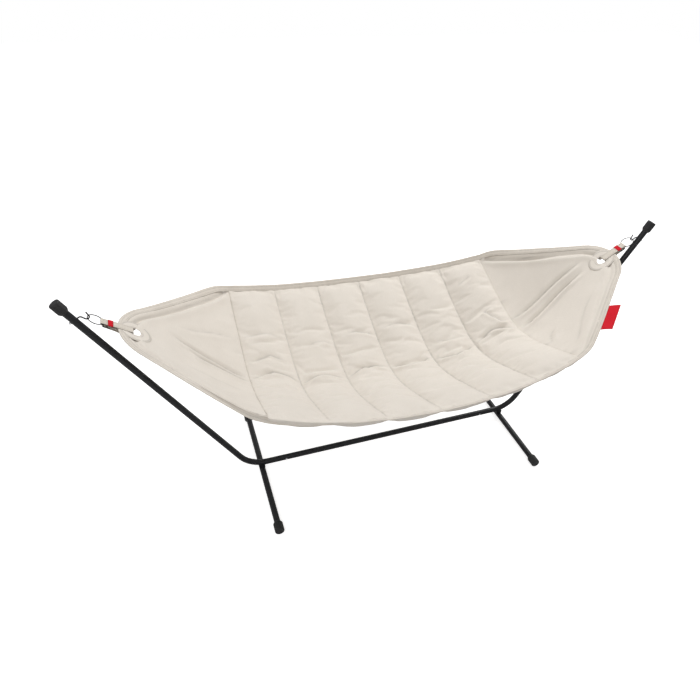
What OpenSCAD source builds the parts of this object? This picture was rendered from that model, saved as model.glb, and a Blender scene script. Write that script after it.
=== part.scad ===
// Padded hammock on a free-standing tube stand.
// Frame of the part: X along the beam, Y across it, Z up, origin on the floor in the middle.
// Every piece of the right-hand end is drawn at +X, and the left-hand end mirrors it.

/* [Stand] */
// Distance between the centres of the two arm ends
span = 3300; // [2700:10:3960]
// Length of an arm, from the corner where its line meets the beam's to its end
arm_len = 1496; // [1300:2:1800]
// Slope of the arms above the floor, in degrees
arm_slope = 59.3; // [54:0.1:64]
// Outer diameter of the frame tubes
tube_d = 35; // [28:0.5:42]
// Wall of the frame tubes
tube_wall = 1.5; // [1.2:0.1:2.5]
// Radius of the elbows' bends, to the centre line
bend_r = 180; // [140:5:220]
// Reach of an elbow along the beam, from the corner
elbow_beam_reach = 202; // [150:2:260]
// Reach of an elbow along the arm, from the corner
elbow_arm_reach = 145; // [132:1:220]
// Place of the joint between the lower and the upper arm, from the corner
arm_joint = 1150; // [900:5:1250]
// Length of the reduced spigots that slide into the next tube
spigot_len = 60; // [40:1:80]
// Clearance between a spigot and the tube around it
spigot_gap = 0.25; // [0.1:0.05:0.6]

/* [Cross legs] */
// Length of a cross leg over its two foot caps
leg_len = 1002; // [800:2:1250]
// Distance of the cross legs from the corner, in along the beam
leg_in = 67.2; // [40:0.1:90]
// Thickness of the saddle between a leg and its elbow
saddle_gap = 7; // [3:0.5:10]
// Length of the saddle, along the beam and along the leg
saddle_len = 36; // [28:1:50]

/* [Caps] */
// Outer diameter of the rubber caps
cap_d = 53; // [46:0.5:66]
// Length of the rubber caps
cap_len = 66; // [50:1:90]
// Length of a cap's tapered shoulder
cap_taper = 12; // [8:1:20]
// How far a tube reaches into its cap
cap_grip = 52; // [35:1:60]
// Number of grooves round a cap
cap_grooves = 10; // [6:1:16]
// Clearance between a cap and its tube
cap_gap = 0.15; // [0.1:0.05:0.5]
// Depth of the flat that a foot cap stands on
foot_flat = 1; // [0.5:0.1:2]

/* [Screws and bolts] */
// Shank diameter of the joint screws
screw_d = 6; // [5:0.5:8]
// Distance of a joint screw from the end of the outer tube
screw_inset = 16; // [12:1:24]
// Shank diameter of the leg bolts
leg_bolt_d = 8; // [6:0.5:10]
// Radial clearance round a screw or a bolt
screw_gap = 0.2; // [0.1:0.05:0.5]

/* [Hooks and rings] */
// Place of a hook on its arm, from the corner
hook_place = 1376; // [1300:1:1400]
// Diameter of the hook's rod
hook_d = 7; // [5:0.5:9]
// Distance from the arm to the crest of the hook's hump
hump_out = 8.5; // [6:0.5:14]
// Radius of the hump, to the rod's centre line
hump_r = 11; // [9:0.5:14]
// Distance from the arm to the middle of the hook's cradle
cradle_out = 35; // [32:0.5:44]
// Drop of the cradle's middle down the arm, below the hook's hole
cradle_drop = 19; // [16:0.5:24]
// Radius of the cradle, to the rod's centre line
cradle_r = 11.5; // [10.5:0.5:14]
// Length of the hook's straight tip
tip_len = 20; // [10:1:40]
// Heading of the tip, away from the line square to the arm, in degrees
tip_heading = 82; // [60:1:100]
// Ring radius, to the wire's centre line
ring_r = 36; // [32:0.5:50]
// Diameter of the ring's wire
ring_wire = 5; // [4:0.5:6]
// Slope of the pull from the hook to the mat, in degrees
pull_slope = 33; // [28:0.5:38]

/* [Straps] */
// Width of the strap's webbing
strap_w = 45; // [30:1:54]
// Thickness of the webbing
strap_t = 1.6; // [1.2:0.1:2]
// Distance from the middle of the ring to the mat's nose
strap_reach = 100.8; // [90:1:160]
// Length of the red tag round the strap
tag_len = 24; // [15:1:30]
// Thickness of a cloth tag
tag_t = 1.2; // [0.8:0.1:2]
// Free tail of webbing past the buckle
tail_len = 44; // [20:1:80]
// Diameter of the buckle's bars
bar_d = 3.4; // [2.6:0.1:4]

/* [Mat] */
// Number of padded panels
panels = 6; // [4:1:8]
// Length of the padded bed
bed_len = 1680; // [1400:10:1800]
// Half-width of the bed across its middle, as it hangs
half_w = 677; // [520:1:812]
// How much the bed narrows on each side at its two ends
waist = 76; // [20:1:120]
// Angle of the mat's tapered ends to the beam, in degrees
taper_angle = 43.2; // [38:0.1:50]
// Radius of the mat's rounded nose
nose_r = 270; // [200:5:300]
// Roundness of the corner where the taper begins
corner_ease = 15; // [8:1:40]
// Height of the valley at the middle of the mat
valley_z = 593; // [450:1:700]
// Height of the mat's sides at its middle
side_z = 850; // [700:1:950]
// Thickness of a padded panel
pad_t = 54; // [30:1:70]
// Thickness of the mat along its seams
seam_t = 8; // [5:0.5:14]
// Thickness of the cloth round the wadding
cloth_t = 1.5; // [1:0.1:3]
// Width of the hem round the mat
hem_w = 30; // [8:1:40]
// Thickness of the hem
hem_t = 10; // [6:0.5:14]
// Thickness of the mat's unpadded ends
end_t = 6; // [3:0.5:8]
// Room on each side of a strap in its hole
hole_room = 3.5; // [2.5:0.5:12]
// Distance of the hole's middle from the mat's nose, along the pull
hole_in = 85; // [70:1:120]
// Radius of the patch that strengthens the hole
patch_r = 76; // [55:1:90]
// Thickness of that patch
patch_t = 1.6; // [1:0.1:3]
// Length of the side label
label_len = 190; // [80:1:220]
// How far the side label stands out from the hem
label_w = 62; // [30:1:90]
// Distance from the mat's nose to the label's near end, along the beam
label_in = 267; // [200:1:300]

/* [Hidden] */
$fn = 48;

STEEL = [0.11, 0.11, 0.12];
RUBBER = [0.07, 0.07, 0.07];
CHROME = [0.75, 0.76, 0.78];
CLOTH = [0.88, 0.85, 0.80];
WEB = [0.84, 0.81, 0.75];
RED = [0.80, 0.05, 0.10];

tube_r = tube_d / 2;
bore_r = tube_r - tube_wall;
spigot_r = bore_r - spigot_gap;
tangent = bend_r * tan(arm_slope / 2);
corner_x = span / 2 - arm_len * cos(arm_slope);
bend_x = corner_x - tangent;
leg_z = cap_d / 2 - foot_flat;
leg_x = corner_x - leg_in;
leg_rise = bend_r - sqrt(pow(bend_r, 2) - pow(max(0, leg_x - bend_x), 2));
beam_z = leg_z + tube_d + saddle_gap - leg_rise;
beam_end = corner_x - elbow_beam_reach;
arm_tube_end = arm_len - (cap_len - cap_grip);
leg_tube_half = leg_len / 2 - (cap_len - cap_grip);
insert_r = screw_d / 2 + 1.6;
insert_len = 9;

// Points and directions in the XZ plane of the right-hand end
arm_dir = [cos(arm_slope), sin(arm_slope)];
arm_in = [-sin(arm_slope), cos(arm_slope)];
pull = [-cos(pull_slope), -sin(pull_slope)];
pull_up = [-sin(pull_slope), cos(pull_slope)];
function arm_point(s) = [corner_x, beam_z] + arm_dir * s;
cradle_mid = arm_point(hook_place) + arm_in * (tube_r + cradle_out) - arm_dir * cradle_drop;
ring_seat = 3;
hang_point = cradle_mid + pull * ring_seat;
ring_mid = hang_point + pull * ring_r;
nose = ring_mid + pull * strap_reach;
hole_mid = nose + pull * hole_in;
echo(hang_point = hang_point, nose = nose, beam_z = beam_z, leg_z = leg_z);

// ---------------------------------------------------------------- tubes

module left() {
    mirror([1, 0, 0])
        children();
}

// Puts its children on the arm's line, local Z up the arm and local -X towards the mat
module on_arm(s) {
    translate([arm_point(s)[0], 0, arm_point(s)[1]])
        rotate([0, 90 - arm_slope, 0])
            children();
}

module pipe(length, outer, inner) {
    difference() {
        cylinder(h = length, r = outer);
        translate([0, 0, -1])
            cylinder(h = length + 2, r = inner);
    }
}

// A joint screw's hole, from the tube's axis out along local Y
module side_hole(r, side) {
    rotate([-90 * side, 0, 0])
        cylinder(h = tube_d, r = r);
}

module beam_tube() {
    color(STEEL)
        difference() {
            translate([-beam_end, 0, beam_z])
                rotate([0, 90, 0])
                    pipe(2 * beam_end, tube_r, bore_r);
            for (side = [-1, 1])
                translate([side * (beam_end - screw_inset), 0, beam_z])
                    side_hole(screw_d / 2 + screw_gap, -1);
        }
}

// The bend of an elbow, as a solid bar of radius r that runs a little way into the straights
module bend_bar(r) {
    into = 0.5;
    translate([bend_x, 0, beam_z + bend_r])
        rotate([90, 0, 0])
            rotate([0, 0, -90 - into])
                rotate_extrude(angle = arm_slope + 2 * into)
                    translate([bend_r, 0])
                        circle(r);
}

module elbow_straights(r, overlap) {
    translate([beam_end - overlap, 0, beam_z])
        rotate([0, 90, 0])
            cylinder(h = bend_x - beam_end + overlap, r = r);
    on_arm(tangent)
        cylinder(h = elbow_arm_reach - tangent + overlap, r = r);
}

module elbow_bar(r) {
    bend_bar(r - 0.05);
    elbow_straights(r, 0);
}

module elbow_spigots() {
    lap = 8;
    translate([beam_end - spigot_len, 0, beam_z])
        rotate([0, 90, 0])
            cylinder(h = spigot_len + lap, r = spigot_r);
    on_arm(elbow_arm_reach - lap)
        cylinder(h = spigot_len + lap, r = spigot_r);
}

module elbow() {
    bore = spigot_r - tube_wall;
    color(STEEL)
        difference() {
            union() {
                elbow_bar(tube_r);
                elbow_spigots();
            }
            bend_bar(bore + 0.05);
            elbow_straights(bore, spigot_len + 1);
            translate([beam_end - screw_inset, 0, beam_z])
                side_hole(insert_r + screw_gap, -1);
            on_arm(elbow_arm_reach + screw_inset)
                side_hole(insert_r + screw_gap, 1);
            translate([leg_x, 0, leg_z])
                cylinder(h = tube_d, r = leg_bolt_d / 2 + screw_gap);
        }
}

module lower_arm() {
    color(STEEL)
        difference() {
            on_arm(elbow_arm_reach)
                pipe(arm_joint - elbow_arm_reach, tube_r, bore_r);
            for (s = [elbow_arm_reach + screw_inset, arm_joint - screw_inset])
                on_arm(s)
                    side_hole(screw_d / 2 + screw_gap, 1);
        }
}

module upper_arm() {
    color(STEEL)
        difference() {
            union() {
                on_arm(arm_joint)
                    cylinder(h = arm_tube_end - arm_joint, r = tube_r);
                on_arm(arm_joint - spigot_len)
                    cylinder(h = spigot_len + 1, r = spigot_r);
            }
            on_arm(arm_joint - spigot_len - 1)
                cylinder(h = arm_tube_end - arm_joint + spigot_len + 2, r = spigot_r - tube_wall);
            on_arm(arm_joint - screw_inset)
                side_hole(insert_r + screw_gap, 1);
            on_arm(hook_place)
                rotate([0, 90, 0])
                    cylinder(h = 2 * tube_d, r = hook_d / 2 + screw_gap, center = true);
        }
}

module cross_leg() {
    color(STEEL)
        difference() {
            translate([leg_x, leg_tube_half, leg_z])
                rotate([90, 0, 0])
                    pipe(2 * leg_tube_half, tube_r, bore_r);
            translate([leg_x, 0, leg_z - tube_d])
                cylinder(h = 2 * tube_d, r = leg_bolt_d / 2 + screw_gap);
        }
}

// ---------------------------------------------------------------- caps

// A ribbed rubber cap with its closed end at local z = 0, its mouth towards -Z
module cap() {
    lip_r = tube_r + 2.2;
    edge = 5;
    groove_r = 3;
    difference() {
        rotate_extrude()
            polygon([
                [0, 0],
                [cap_d / 2 - edge, 0],
                [cap_d / 2 - edge * 0.3, -edge * 0.3],
                [cap_d / 2, -edge],
                [cap_d / 2, -(cap_len - cap_taper)],
                [lip_r, -cap_len],
                [0, -cap_len]
            ]);
        translate([0, 0, -cap_len - 1])
            cylinder(h = cap_grip + 1, r = tube_r + cap_gap);
        for (i = [0:cap_grooves - 1])
            rotate([0, 0, (i + 0.5) * 360 / cap_grooves])
                translate([cap_d / 2 + groove_r * 0.55, 0, -cap_len])
                    cylinder(h = cap_len - 1.6 * edge, r = groove_r);
    }
}

module arm_cap() {
    color(RUBBER)
        on_arm(arm_len)
            cap();
}

// A foot cap with its flat on the floor, at the front (-1) or the rear (1)
module foot_cap(side) {
    color(RUBBER)
        difference() {
            translate([leg_x, side * leg_len / 2, leg_z])
                rotate([-90 * side, 0, 0])
                    rotate([0, 0, 90])
                        cap();
            translate([leg_x - cap_d, side * leg_len / 2 - cap_len * 1.5, -cap_d])
                cube([2 * cap_d, cap_len * 3, cap_d]);
        }
}

// ---------------------------------------------------------------- saddles, screws and bolts

module both_ends() {
    children();
    left()
        children();
}

module saddle() {
    fit = 0.2;
    cheek = 8;
    floor_z = leg_z + tube_r - cheek;
    difference() {
        translate([leg_x - saddle_len / 2, -saddle_len / 2, floor_z])
            cube([saddle_len, saddle_len, saddle_gap + 2 * cheek]);
        bend_bar(tube_r + fit);
        translate([leg_x, saddle_len, leg_z])
            rotate([90, 0, 0])
                cylinder(h = 2 * saddle_len, r = tube_r + fit);
        translate([leg_x, 0, leg_z])
            cylinder(h = 2 * tube_d, r = leg_bolt_d / 2 + screw_gap);
    }
}

module leg_saddles() {
    color(STEEL)
        both_ends()
            saddle();
}

leg_nut_z = beam_z + leg_rise - (bore_r - spigot_gap - tube_wall) + 2.5;
leg_nut_h = 7;

module leg_bolts() {
    head_h = 5;
    head_z = leg_z - tube_r - head_h - 0.2;
    color(STEEL)
        both_ends()
            translate([leg_x, 0, head_z]) {
                cylinder(h = head_h, r = leg_bolt_d * 0.8);
                cylinder(h = leg_nut_z + leg_nut_h - head_z - 0.5, r = leg_bolt_d / 2);
            }
}

module leg_nuts() {
    color(STEEL)
        both_ends()
            translate([leg_x, 0, leg_nut_z])
                difference() {
                    cylinder(h = leg_nut_h, r = leg_bolt_d * 0.85, $fn = 6);
                    translate([0, 0, -1])
                        cylinder(h = leg_nut_h + 2, r = leg_bolt_d / 2 + 0.05);
                }
}

// Puts its children at each of the right-hand end's joints, local Z out through the screw's head
module at_joints() {
    translate([beam_end - screw_inset, 0, beam_z])
        rotate([90, 0, 0])
            children();
    for (s = [elbow_arm_reach + screw_inset, arm_joint - screw_inset])
        on_arm(s)
            rotate([-90, 0, 0])
                children();
}

module joint_screws() {
    head_h = 3.4;
    head_r = screw_d * 0.95;
    color(STEEL)
        both_ends()
            at_joints()
                difference() {
                    union() {
                        translate([0, 0, spigot_r - insert_len])
                            cylinder(h = tube_r - spigot_r + insert_len + 0.5, r = screw_d / 2);
                        translate([0, 0, tube_r + 0.2])
                            rotate_extrude()
                                polygon([
                                    [0, 0],
                                    [head_r, 0],
                                    [head_r, head_h * 0.35],
                                    [head_r * 0.8, head_h * 0.8],
                                    [head_r * 0.5, head_h],
                                    [0, head_h]
                                ]);
                    }
                    translate([0, 0, tube_r + head_h * 0.4])
                        cylinder(h = head_h, r = screw_d * 0.38, $fn = 6);
                }
}

module joint_inserts() {
    color(CHROME)
        both_ends()
            at_joints()
                translate([0, 0, spigot_r - insert_len - 0.3])
                    pipe(insert_len, insert_r, screw_d / 2 + 0.05);
}

// ---------------------------------------------------------------- hooks and rings

hook_c1 = [hump_out, -hump_r];
hook_c2 = [cradle_out, -cradle_drop];
hook_gap = norm(hook_c2 - hook_c1);
hook_line = atan2(hook_c2[1] - hook_c1[1], hook_c2[0] - hook_c1[0]);
hook_turn = hook_line - asin((hump_r + cradle_r) / hook_gap);
function clockwise(c, r, heading) = c + r * [-sin(heading), cos(heading)];
function anticlockwise(c, r, heading) = c + r * [sin(heading), -cos(heading)];
hook_tip_start = anticlockwise(hook_c2, cradle_r, tip_heading);
hook_nut_h = 6;
hook_tail = tube_d + hook_nut_h + 4;

module rod(a, b) {
    translate([a[0], a[1], 0])
        rotate([0, 0, atan2(b[1] - a[1], b[0] - a[0])])
            rotate([0, 90, 0])
                cylinder(h = norm(b - a), r = hook_d / 2);
}

// A bend runs a little way into the straight rods at its ends, and is a hair thinner
module arc_rod(c, r, from, to) {
    into = 2;
    translate([c[0], c[1], 0])
        rotate([0, 0, from - into])
            rotate_extrude(angle = to - from + 2 * into)
                translate([r, 0])
                    circle(hook_d / 2 - 0.05);
}

// Local x runs from the arm's face towards the mat, local y up the arm
module hook_plane() {
    on_arm(hook_place)
        translate([-tube_r, 0, 0])
            rotate([90, 0, 180])
                children();
}

// The hook's free end, a straight rod with a rounded tip
module rounded_tip() {
    r = hook_d / 2;
    rotate_extrude()
        polygon([
            [0, 0],
            [r, 0],
            [r, tip_len],
            [r * 0.9, tip_len + r * 0.4],
            [r * 0.6, tip_len + r * 0.8],
            [0, tip_len + r]
        ]);
}

module hook() {
    color(STEEL)
        hook_plane() {
            rod([-hook_tail, 0], [hump_out, 0]);
            arc_rod(hook_c1, hump_r, hook_turn + 90, 90);
            rod(clockwise(hook_c1, hump_r, hook_turn), anticlockwise(hook_c2, cradle_r, hook_turn));
            arc_rod(hook_c2, cradle_r, hook_turn - 90, tip_heading - 90);
            translate([hook_tip_start[0], hook_tip_start[1], 0])
                rotate([0, 0, tip_heading])
                    rotate([0, 90, 0])
                        rounded_tip();
        }
}

module hook_nuts() {
    color(STEEL)
        both_ends()
            hook_plane()
                translate([-tube_d - hook_nut_h - 0.3, 0, 0])
                    rotate([0, 90, 0])
                        difference() {
                            cylinder(h = hook_nut_h, r = hook_d, $fn = 6);
                            translate([0, 0, -1])
                                cylinder(h = hook_nut_h + 2, r = hook_d / 2 + 0.05);
                        }
}

// Local x runs down the pull from the middle of the ring, local y across it in the XZ plane
module pull_plane() {
    translate([ring_mid[0], 0, ring_mid[1]])
        rotate([0, 90 - pull_slope, 0])
            rotate([-90, 90, 0])
                children();
}

module ring() {
    color(CHROME)
        pull_plane()
            rotate([90, 0, 0])
                rotate_extrude()
                    translate([ring_r, 0])
                        circle(ring_wire / 2);
}

// ---------------------------------------------------------------- straps, buckles and tags

web_gap = 0.3;
ply = ring_wire / 2 + web_gap + strap_t / 2;
fold_s = sqrt(pow(ring_r - ring_wire / 2, 2) - pow(strap_w / 2 + 0.5, 2)) - web_gap + ring_wire / 2;
bar_ply = bar_d / 2 + 0.2 + strap_t / 2;
mat_ply = hem_t / 2 + 0.7 + strap_t / 2;
bar_h = -(mat_ply + bar_ply);
bar_1 = fold_s + 12;
bar_2 = bar_1 + 10.5;
bar_3 = bar_2 + 15.5;
tail_h = bar_h - bar_ply - strap_t - 1.1;
hole_d = strap_w + 2 * hole_room;
hole_s = strap_reach + hole_in;
strap_down = hole_s - sqrt(pow(hole_d / 2, 2) - pow(strap_w / 2, 2)) + strap_t + 1;
tag_s = fold_s + 28;

function arc(c, r, from, to, n) = [
    for (i = [0:n]) c + r * [cos(from + (to - from) * i / n), sin(from + (to - from) * i / n)]
];

// The strap's route: tail, buckle, round the ring, over the nose, down the hole and back
strap_route = concat(
    [
        [bar_3 + 6 + tail_len, tail_h],
        [bar_3 - 3, tail_h],
        [bar_2 + bar_ply + 3.4, bar_h - bar_ply - 0.6]
    ],
    arc([bar_2, bar_h], bar_ply, 20, 160, 6),
    arc([bar_1, bar_h], bar_ply, -40, -140, 4),
    [[fold_s + 2, -ply - 1.2]],
    arc([fold_s, 0], ply, -90, -270, 8),
    [[strap_reach - 12, mat_ply - 1]],
    [[strap_reach, mat_ply]],
    arc([strap_down - 6, mat_ply - 6], 6, 80, 0, 4),
    arc([strap_down - 6, 6 - mat_ply], 6, 0, -80, 4),
    arc([bar_3, bar_h], bar_ply, 90, 270, 6),
    [[bar_3 + 22, bar_h - bar_ply]]
);

function turn_left(v) = [-v[1], v[0]];
function unit(v) = v / norm(v);
function side_step(route, i) =
    let (
        last = len(route) - 1,
        before = unit(route[max(i, 1)] - route[max(i, 1) - 1]),
        after = unit(route[min(i, last - 1) + 1] - route[min(i, last - 1)]),
        mean = unit(before + after)
    )
    turn_left(mean) / max(0.5, mean * after);

// A band of even thickness along a route, as an outline
module band(route, thick) {
    count = len(route);
    polygon(concat(
        [for (i = [0:count - 1]) route[i] + side_step(route, i) * thick / 2],
        [for (i = [count - 1:-1:0]) route[i] - side_step(route, i) * thick / 2]
    ));
}

module strap() {
    color(WEB)
        pull_plane()
            linear_extrude(height = strap_w, center = true)
                band(strap_route, strap_t);
}

module buckle() {
    rail = 4.6;
    color(RUBBER)
        pull_plane() {
            for (s = [bar_1, bar_2, bar_3])
                translate([s, bar_h, 0])
                    cylinder(h = strap_w + 1 + 2 * rail - 1, r = bar_d / 2, center = true);
            for (side = [-1, 1])
                translate([(bar_1 + bar_3) / 2, bar_h, side * (strap_w + 1 + rail) / 2])
                    cube([bar_3 - bar_1 + bar_d + 2, bar_d + 0.6, rail], center = true);
        }
}

// The tag is a flat sleeve round the strap's upper ply
module strap_tag() {
    slope = atan2(mat_ply - 1 - ply, strap_reach - 12 - fold_s);
    height = strap_t + 0.3;
    color(RED)
        pull_plane()
            translate([fold_s, ply, 0])
                rotate([0, 0, slope])
                    translate([tag_s - fold_s + tag_len / 2, 0, 0])
                        difference() {
                            cube([tag_len, height + 2 * tag_t, strap_w + 0.8 + 2 * tag_t], center = true);
                            cube([tag_len + 2, height, strap_w + 0.8], center = true);
                        }
}

// ---------------------------------------------------------------- the mat's hanging shape

bed_half = bed_len / 2;
bed_end_w = half_w - waist;
nose_c = nose[0] - nose_r;
valley_end_z = valley_z + 144;
side_end_z = side_z + 98;
valley_slope = 0.45;
side_slope = 0.42;

// Height rising from the middle by a + b parts of the bed's rise
function rise(u, total) = total * (0.75 * u * u + 0.25 * pow(u, 4));
function ease(u, z0, m0, z1, m1, run) =
    (1 + 2 * u) * pow(1 - u, 2) * z0 + u * pow(1 - u, 2) * run * m0
    + u * u * (3 - 2 * u) * z1 + u * u * (u - 1) * run * m1;
function end_part(x) = (abs(x) - bed_half) / (nose[0] - bed_half);
function valley(x) = abs(x) < bed_half
    ? valley_z + rise(abs(x) / bed_half, valley_end_z - valley_z)
    : ease(end_part(x), valley_end_z, valley_slope, nose[1], tan(pull_slope), nose[0] - bed_half);
function side_height(x) = abs(x) < bed_half
    ? side_z + rise(abs(x) / bed_half, side_end_z - side_z)
    : ease(end_part(x), side_end_z, side_slope, nose[1], 0.5, nose[0] - bed_half);

// Half-width of the mat's outline at x, drawn in by inset
function bed_side(x, inset) = half_w - waist * pow(x / bed_half, 2) - inset;
function taper_side(x, inset) = (nose_r - inset - (abs(x) - nose_c) * sin(taper_angle)) / cos(taper_angle);
function soft_min(a, b) = (a + b) / 2 - sqrt(pow((a - b) / 2, 2) + pow(corner_ease, 2));
function half_width(x, inset) = abs(x) - nose_c > (nose_r - inset) * sin(taper_angle)
    ? sqrt(max(0, pow(nose_r - inset, 2) - pow(abs(x) - nose_c, 2)))
    : soft_min(bed_side(x, inset), taper_side(x, inset));

// How far a point has climbed from the valley (0) to the side (1)
vee = 0.35;
function climb(t) = (sqrt(t * t + vee * vee) - vee) / (sqrt(1 + vee * vee) - vee);
function mat_z(x, y) =
    valley(x) + (side_height(x) - valley(x)) * climb(min(1, abs(y) / max(1, half_width(x, 0))));

// Half-thickness of the padded bed: full in a panel's middle, thin along its seams and sides
panel_len = bed_len / panels;
function puff(x, t) =
    let (u = (x + bed_half) / panel_len, f = 2 * (u - floor(min(u, panels - 0.001))) - 1)
    sqrt(max(0, 1 - f * f)) * sqrt(max(0, 1 - pow(t, 4)));
function half_thick(x, t) = seam_t / 2 + (pad_t - seam_t) / 2 * puff(x, t);

// A closed solid over a grid of stations: rows of [top, bottom] points, n across
module grid_solid(tops, bottoms) {
    rows = len(tops);
    cols = len(tops[0]);
    count = rows * cols;
    function at(i, j) = i * cols + j;
    points = concat([for (r = tops) each r], [for (r = bottoms) each r]);
    faces = concat(
        [for (i = [0:rows - 2], j = [0:cols - 2]) each [
            [at(i, j), at(i, j + 1), at(i + 1, j + 1)],
            [at(i, j), at(i + 1, j + 1), at(i + 1, j)]
        ]],
        [for (i = [0:rows - 2], j = [0:cols - 2]) each [
            [count + at(i, j), count + at(i + 1, j + 1), count + at(i, j + 1)],
            [count + at(i, j), count + at(i + 1, j), count + at(i + 1, j + 1)]
        ]],
        [for (i = [0:rows - 2]) each [
            [at(i, 0), at(i + 1, 0), count + at(i + 1, 0)],
            [at(i, 0), count + at(i + 1, 0), count + at(i, 0)],
            [at(i, cols - 1), count + at(i + 1, cols - 1), at(i + 1, cols - 1)],
            [at(i, cols - 1), count + at(i, cols - 1), count + at(i + 1, cols - 1)]
        ]],
        [for (j = [0:cols - 2]) each [
            [at(0, j), count + at(0, j + 1), at(0, j + 1)],
            [at(0, j), count + at(0, j), count + at(0, j + 1)],
            [at(rows - 1, j), at(rows - 1, j + 1), count + at(rows - 1, j + 1)],
            [at(rows - 1, j), count + at(rows - 1, j + 1), count + at(rows - 1, j)]
        ]]
    );
    polyhedron(points = points, faces = faces);
}

across = 12;
function spread(j) = 2 * j / across - 1;

// The skin of the bed between two stations, drawn in by shrink on every side
module bed_solid(x0, x1, steps, shrink) {
    inset = hem_w + shrink;
    xs = [for (i = [0:steps]) let (u = (1 - cos(180 * i / steps)) / 2) x0 + (x1 - x0) * u];
    tops = [for (x = xs) [for (j = [0:across])
        let (t = spread(j), y = t * half_width(x, inset))
        [x, y, mat_z(x, y) + half_thick(x, t) - shrink]
    ]];
    bottoms = [for (x = xs) [for (j = [0:across])
        let (t = spread(j), y = t * half_width(x, inset))
        [x, y, mat_z(x, y) - half_thick(x, t) + shrink]
    ]];
    grid_solid(tops, bottoms);
}

panel_steps = 6;
all_x = [
    for (p = [0:panels - 1], i = [0:panel_steps - 1])
        -bed_half + panel_len * (p + (1 - cos(180 * i / panel_steps)) / 2),
    bed_half
];

module bed_cover() {
    tops = [for (x = all_x) [for (j = [0:across])
        let (t = spread(j), y = t * half_width(x, hem_w))
        [x, y, mat_z(x, y) + half_thick(x, t)]
    ]];
    bottoms = [for (x = all_x) [for (j = [0:across])
        let (t = spread(j), y = t * half_width(x, hem_w))
        [x, y, mat_z(x, y) - half_thick(x, t)]
    ]];
    color(CLOTH)
        difference() {
            grid_solid(tops, bottoms);
            wadding_pads(cloth_t);
        }
}

module wadding_pads(shrink) {
    margin = 4;
    for (p = [0:panels - 1])
        bed_solid(
            -bed_half + panel_len * p + margin + shrink,
            -bed_half + panel_len * (p + 1) - margin - shrink,
            panel_steps,
            shrink
        );
}

module wadding() {
    color([0.95, 0.95, 0.93])
        wadding_pads(cloth_t + 0.3);
}

// Stations along a tapered end: even steps to the nose's arc, then round it
function nose_x(angle, inset) = nose_c + (nose_r - inset) * cos(angle);
arc_start = 90 - taper_angle;

nose_turn = [arc_start, 36, 27, 18, 10];
straight_end = nose_x(arc_start, hem_w);
straight_x = [for (i = [1:9]) bed_half + (straight_end - bed_half) * i / 10];

module end_panel() {
    inset = hem_w + 0.2;
    xs = concat([bed_half + 0.3], straight_x, [for (a = nose_turn) nose_x(a, inset)]);
    tops = [for (x = xs) [for (j = [0:across])
        let (y = spread(j) * half_width(x, inset))
        [x, y, mat_z(x, y) + end_t / 2]
    ]];
    bottoms = [for (x = xs) [for (j = [0:across])
        let (y = spread(j) * half_width(x, inset))
        [x, y, mat_z(x, y) - end_t / 2]
    ]];
    color(CLOTH)
        difference() {
            grid_solid(tops, bottoms);
            hole_cutter(hole_d / 2);
        }
}

// A round cutter square to the pull, at the strap's hole
module hole_cutter(r) {
    translate([hole_mid[0], 0, hole_mid[1]])
        rotate([0, -pull_slope, 0])
            cylinder(h = 60, r = r, center = true);
}

// How far the patch reaches from the hole's middle: to its own radius, or to the hem
function patch_reach(a) =
    let (
        e = hole_mid[0] - nose_c,
        k = cos(pull_slope) * cos(a),
        q = k * k + pow(sin(a), 2),
        limit = (nose_r - hem_w) * cos(nose_turn[len(nose_turn) - 1]) - 2
    )
    min(patch_r, (sqrt(max(0, pow(e * k, 2) + q * (limit * limit - e * e))) - e * k) / q);

// The patch lies on the end panel, round the hole
module hole_patch() {
    sides = 24;
    inner = hole_d / 2 + 1;
    rings = [0, 0.5, 1];
    lift = 0.6;
    rows = [for (i = [0:sides]) i * 360 / sides];
    function spot(a, share, up) =
        let (
            r = inner + (patch_reach(a) - inner) * share,
            x = hole_mid[0] + r * cos(pull_slope) * cos(a),
            y = r * sin(a)
        )
        [x, y, mat_z(x, y) + end_t / 2 + up];
    cols = len(rings);
    count = sides * cols;
    function at(i, j) = (i % sides) * cols + j;
    tops = [for (i = [0:sides - 1], j = [0:cols - 1]) spot(rows[i], rings[j], patch_t + lift)];
    bottoms = [for (i = [0:sides - 1], j = [0:cols - 1]) spot(rows[i], rings[j], lift)];
    faces = concat(
        [for (i = [0:sides - 1], j = [0:cols - 2]) each [
            [at(i, j), at(i + 1, j), at(i + 1, j + 1)],
            [at(i, j), at(i + 1, j + 1), at(i, j + 1)],
            [count + at(i, j), count + at(i + 1, j + 1), count + at(i + 1, j)],
            [count + at(i, j), count + at(i, j + 1), count + at(i + 1, j + 1)]
        ]],
        [for (i = [0:sides - 1]) each [
            [at(i, 0), count + at(i + 1, 0), at(i + 1, 0)],
            [at(i, 0), count + at(i, 0), count + at(i + 1, 0)],
            [at(i, cols - 1), at(i + 1, cols - 1), count + at(i + 1, cols - 1)],
            [at(i, cols - 1), count + at(i + 1, cols - 1), count + at(i, cols - 1)]
        ]]
    );
    color(CLOTH)
        polyhedron(points = concat(tops, bottoms), faces = faces);
}

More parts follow.
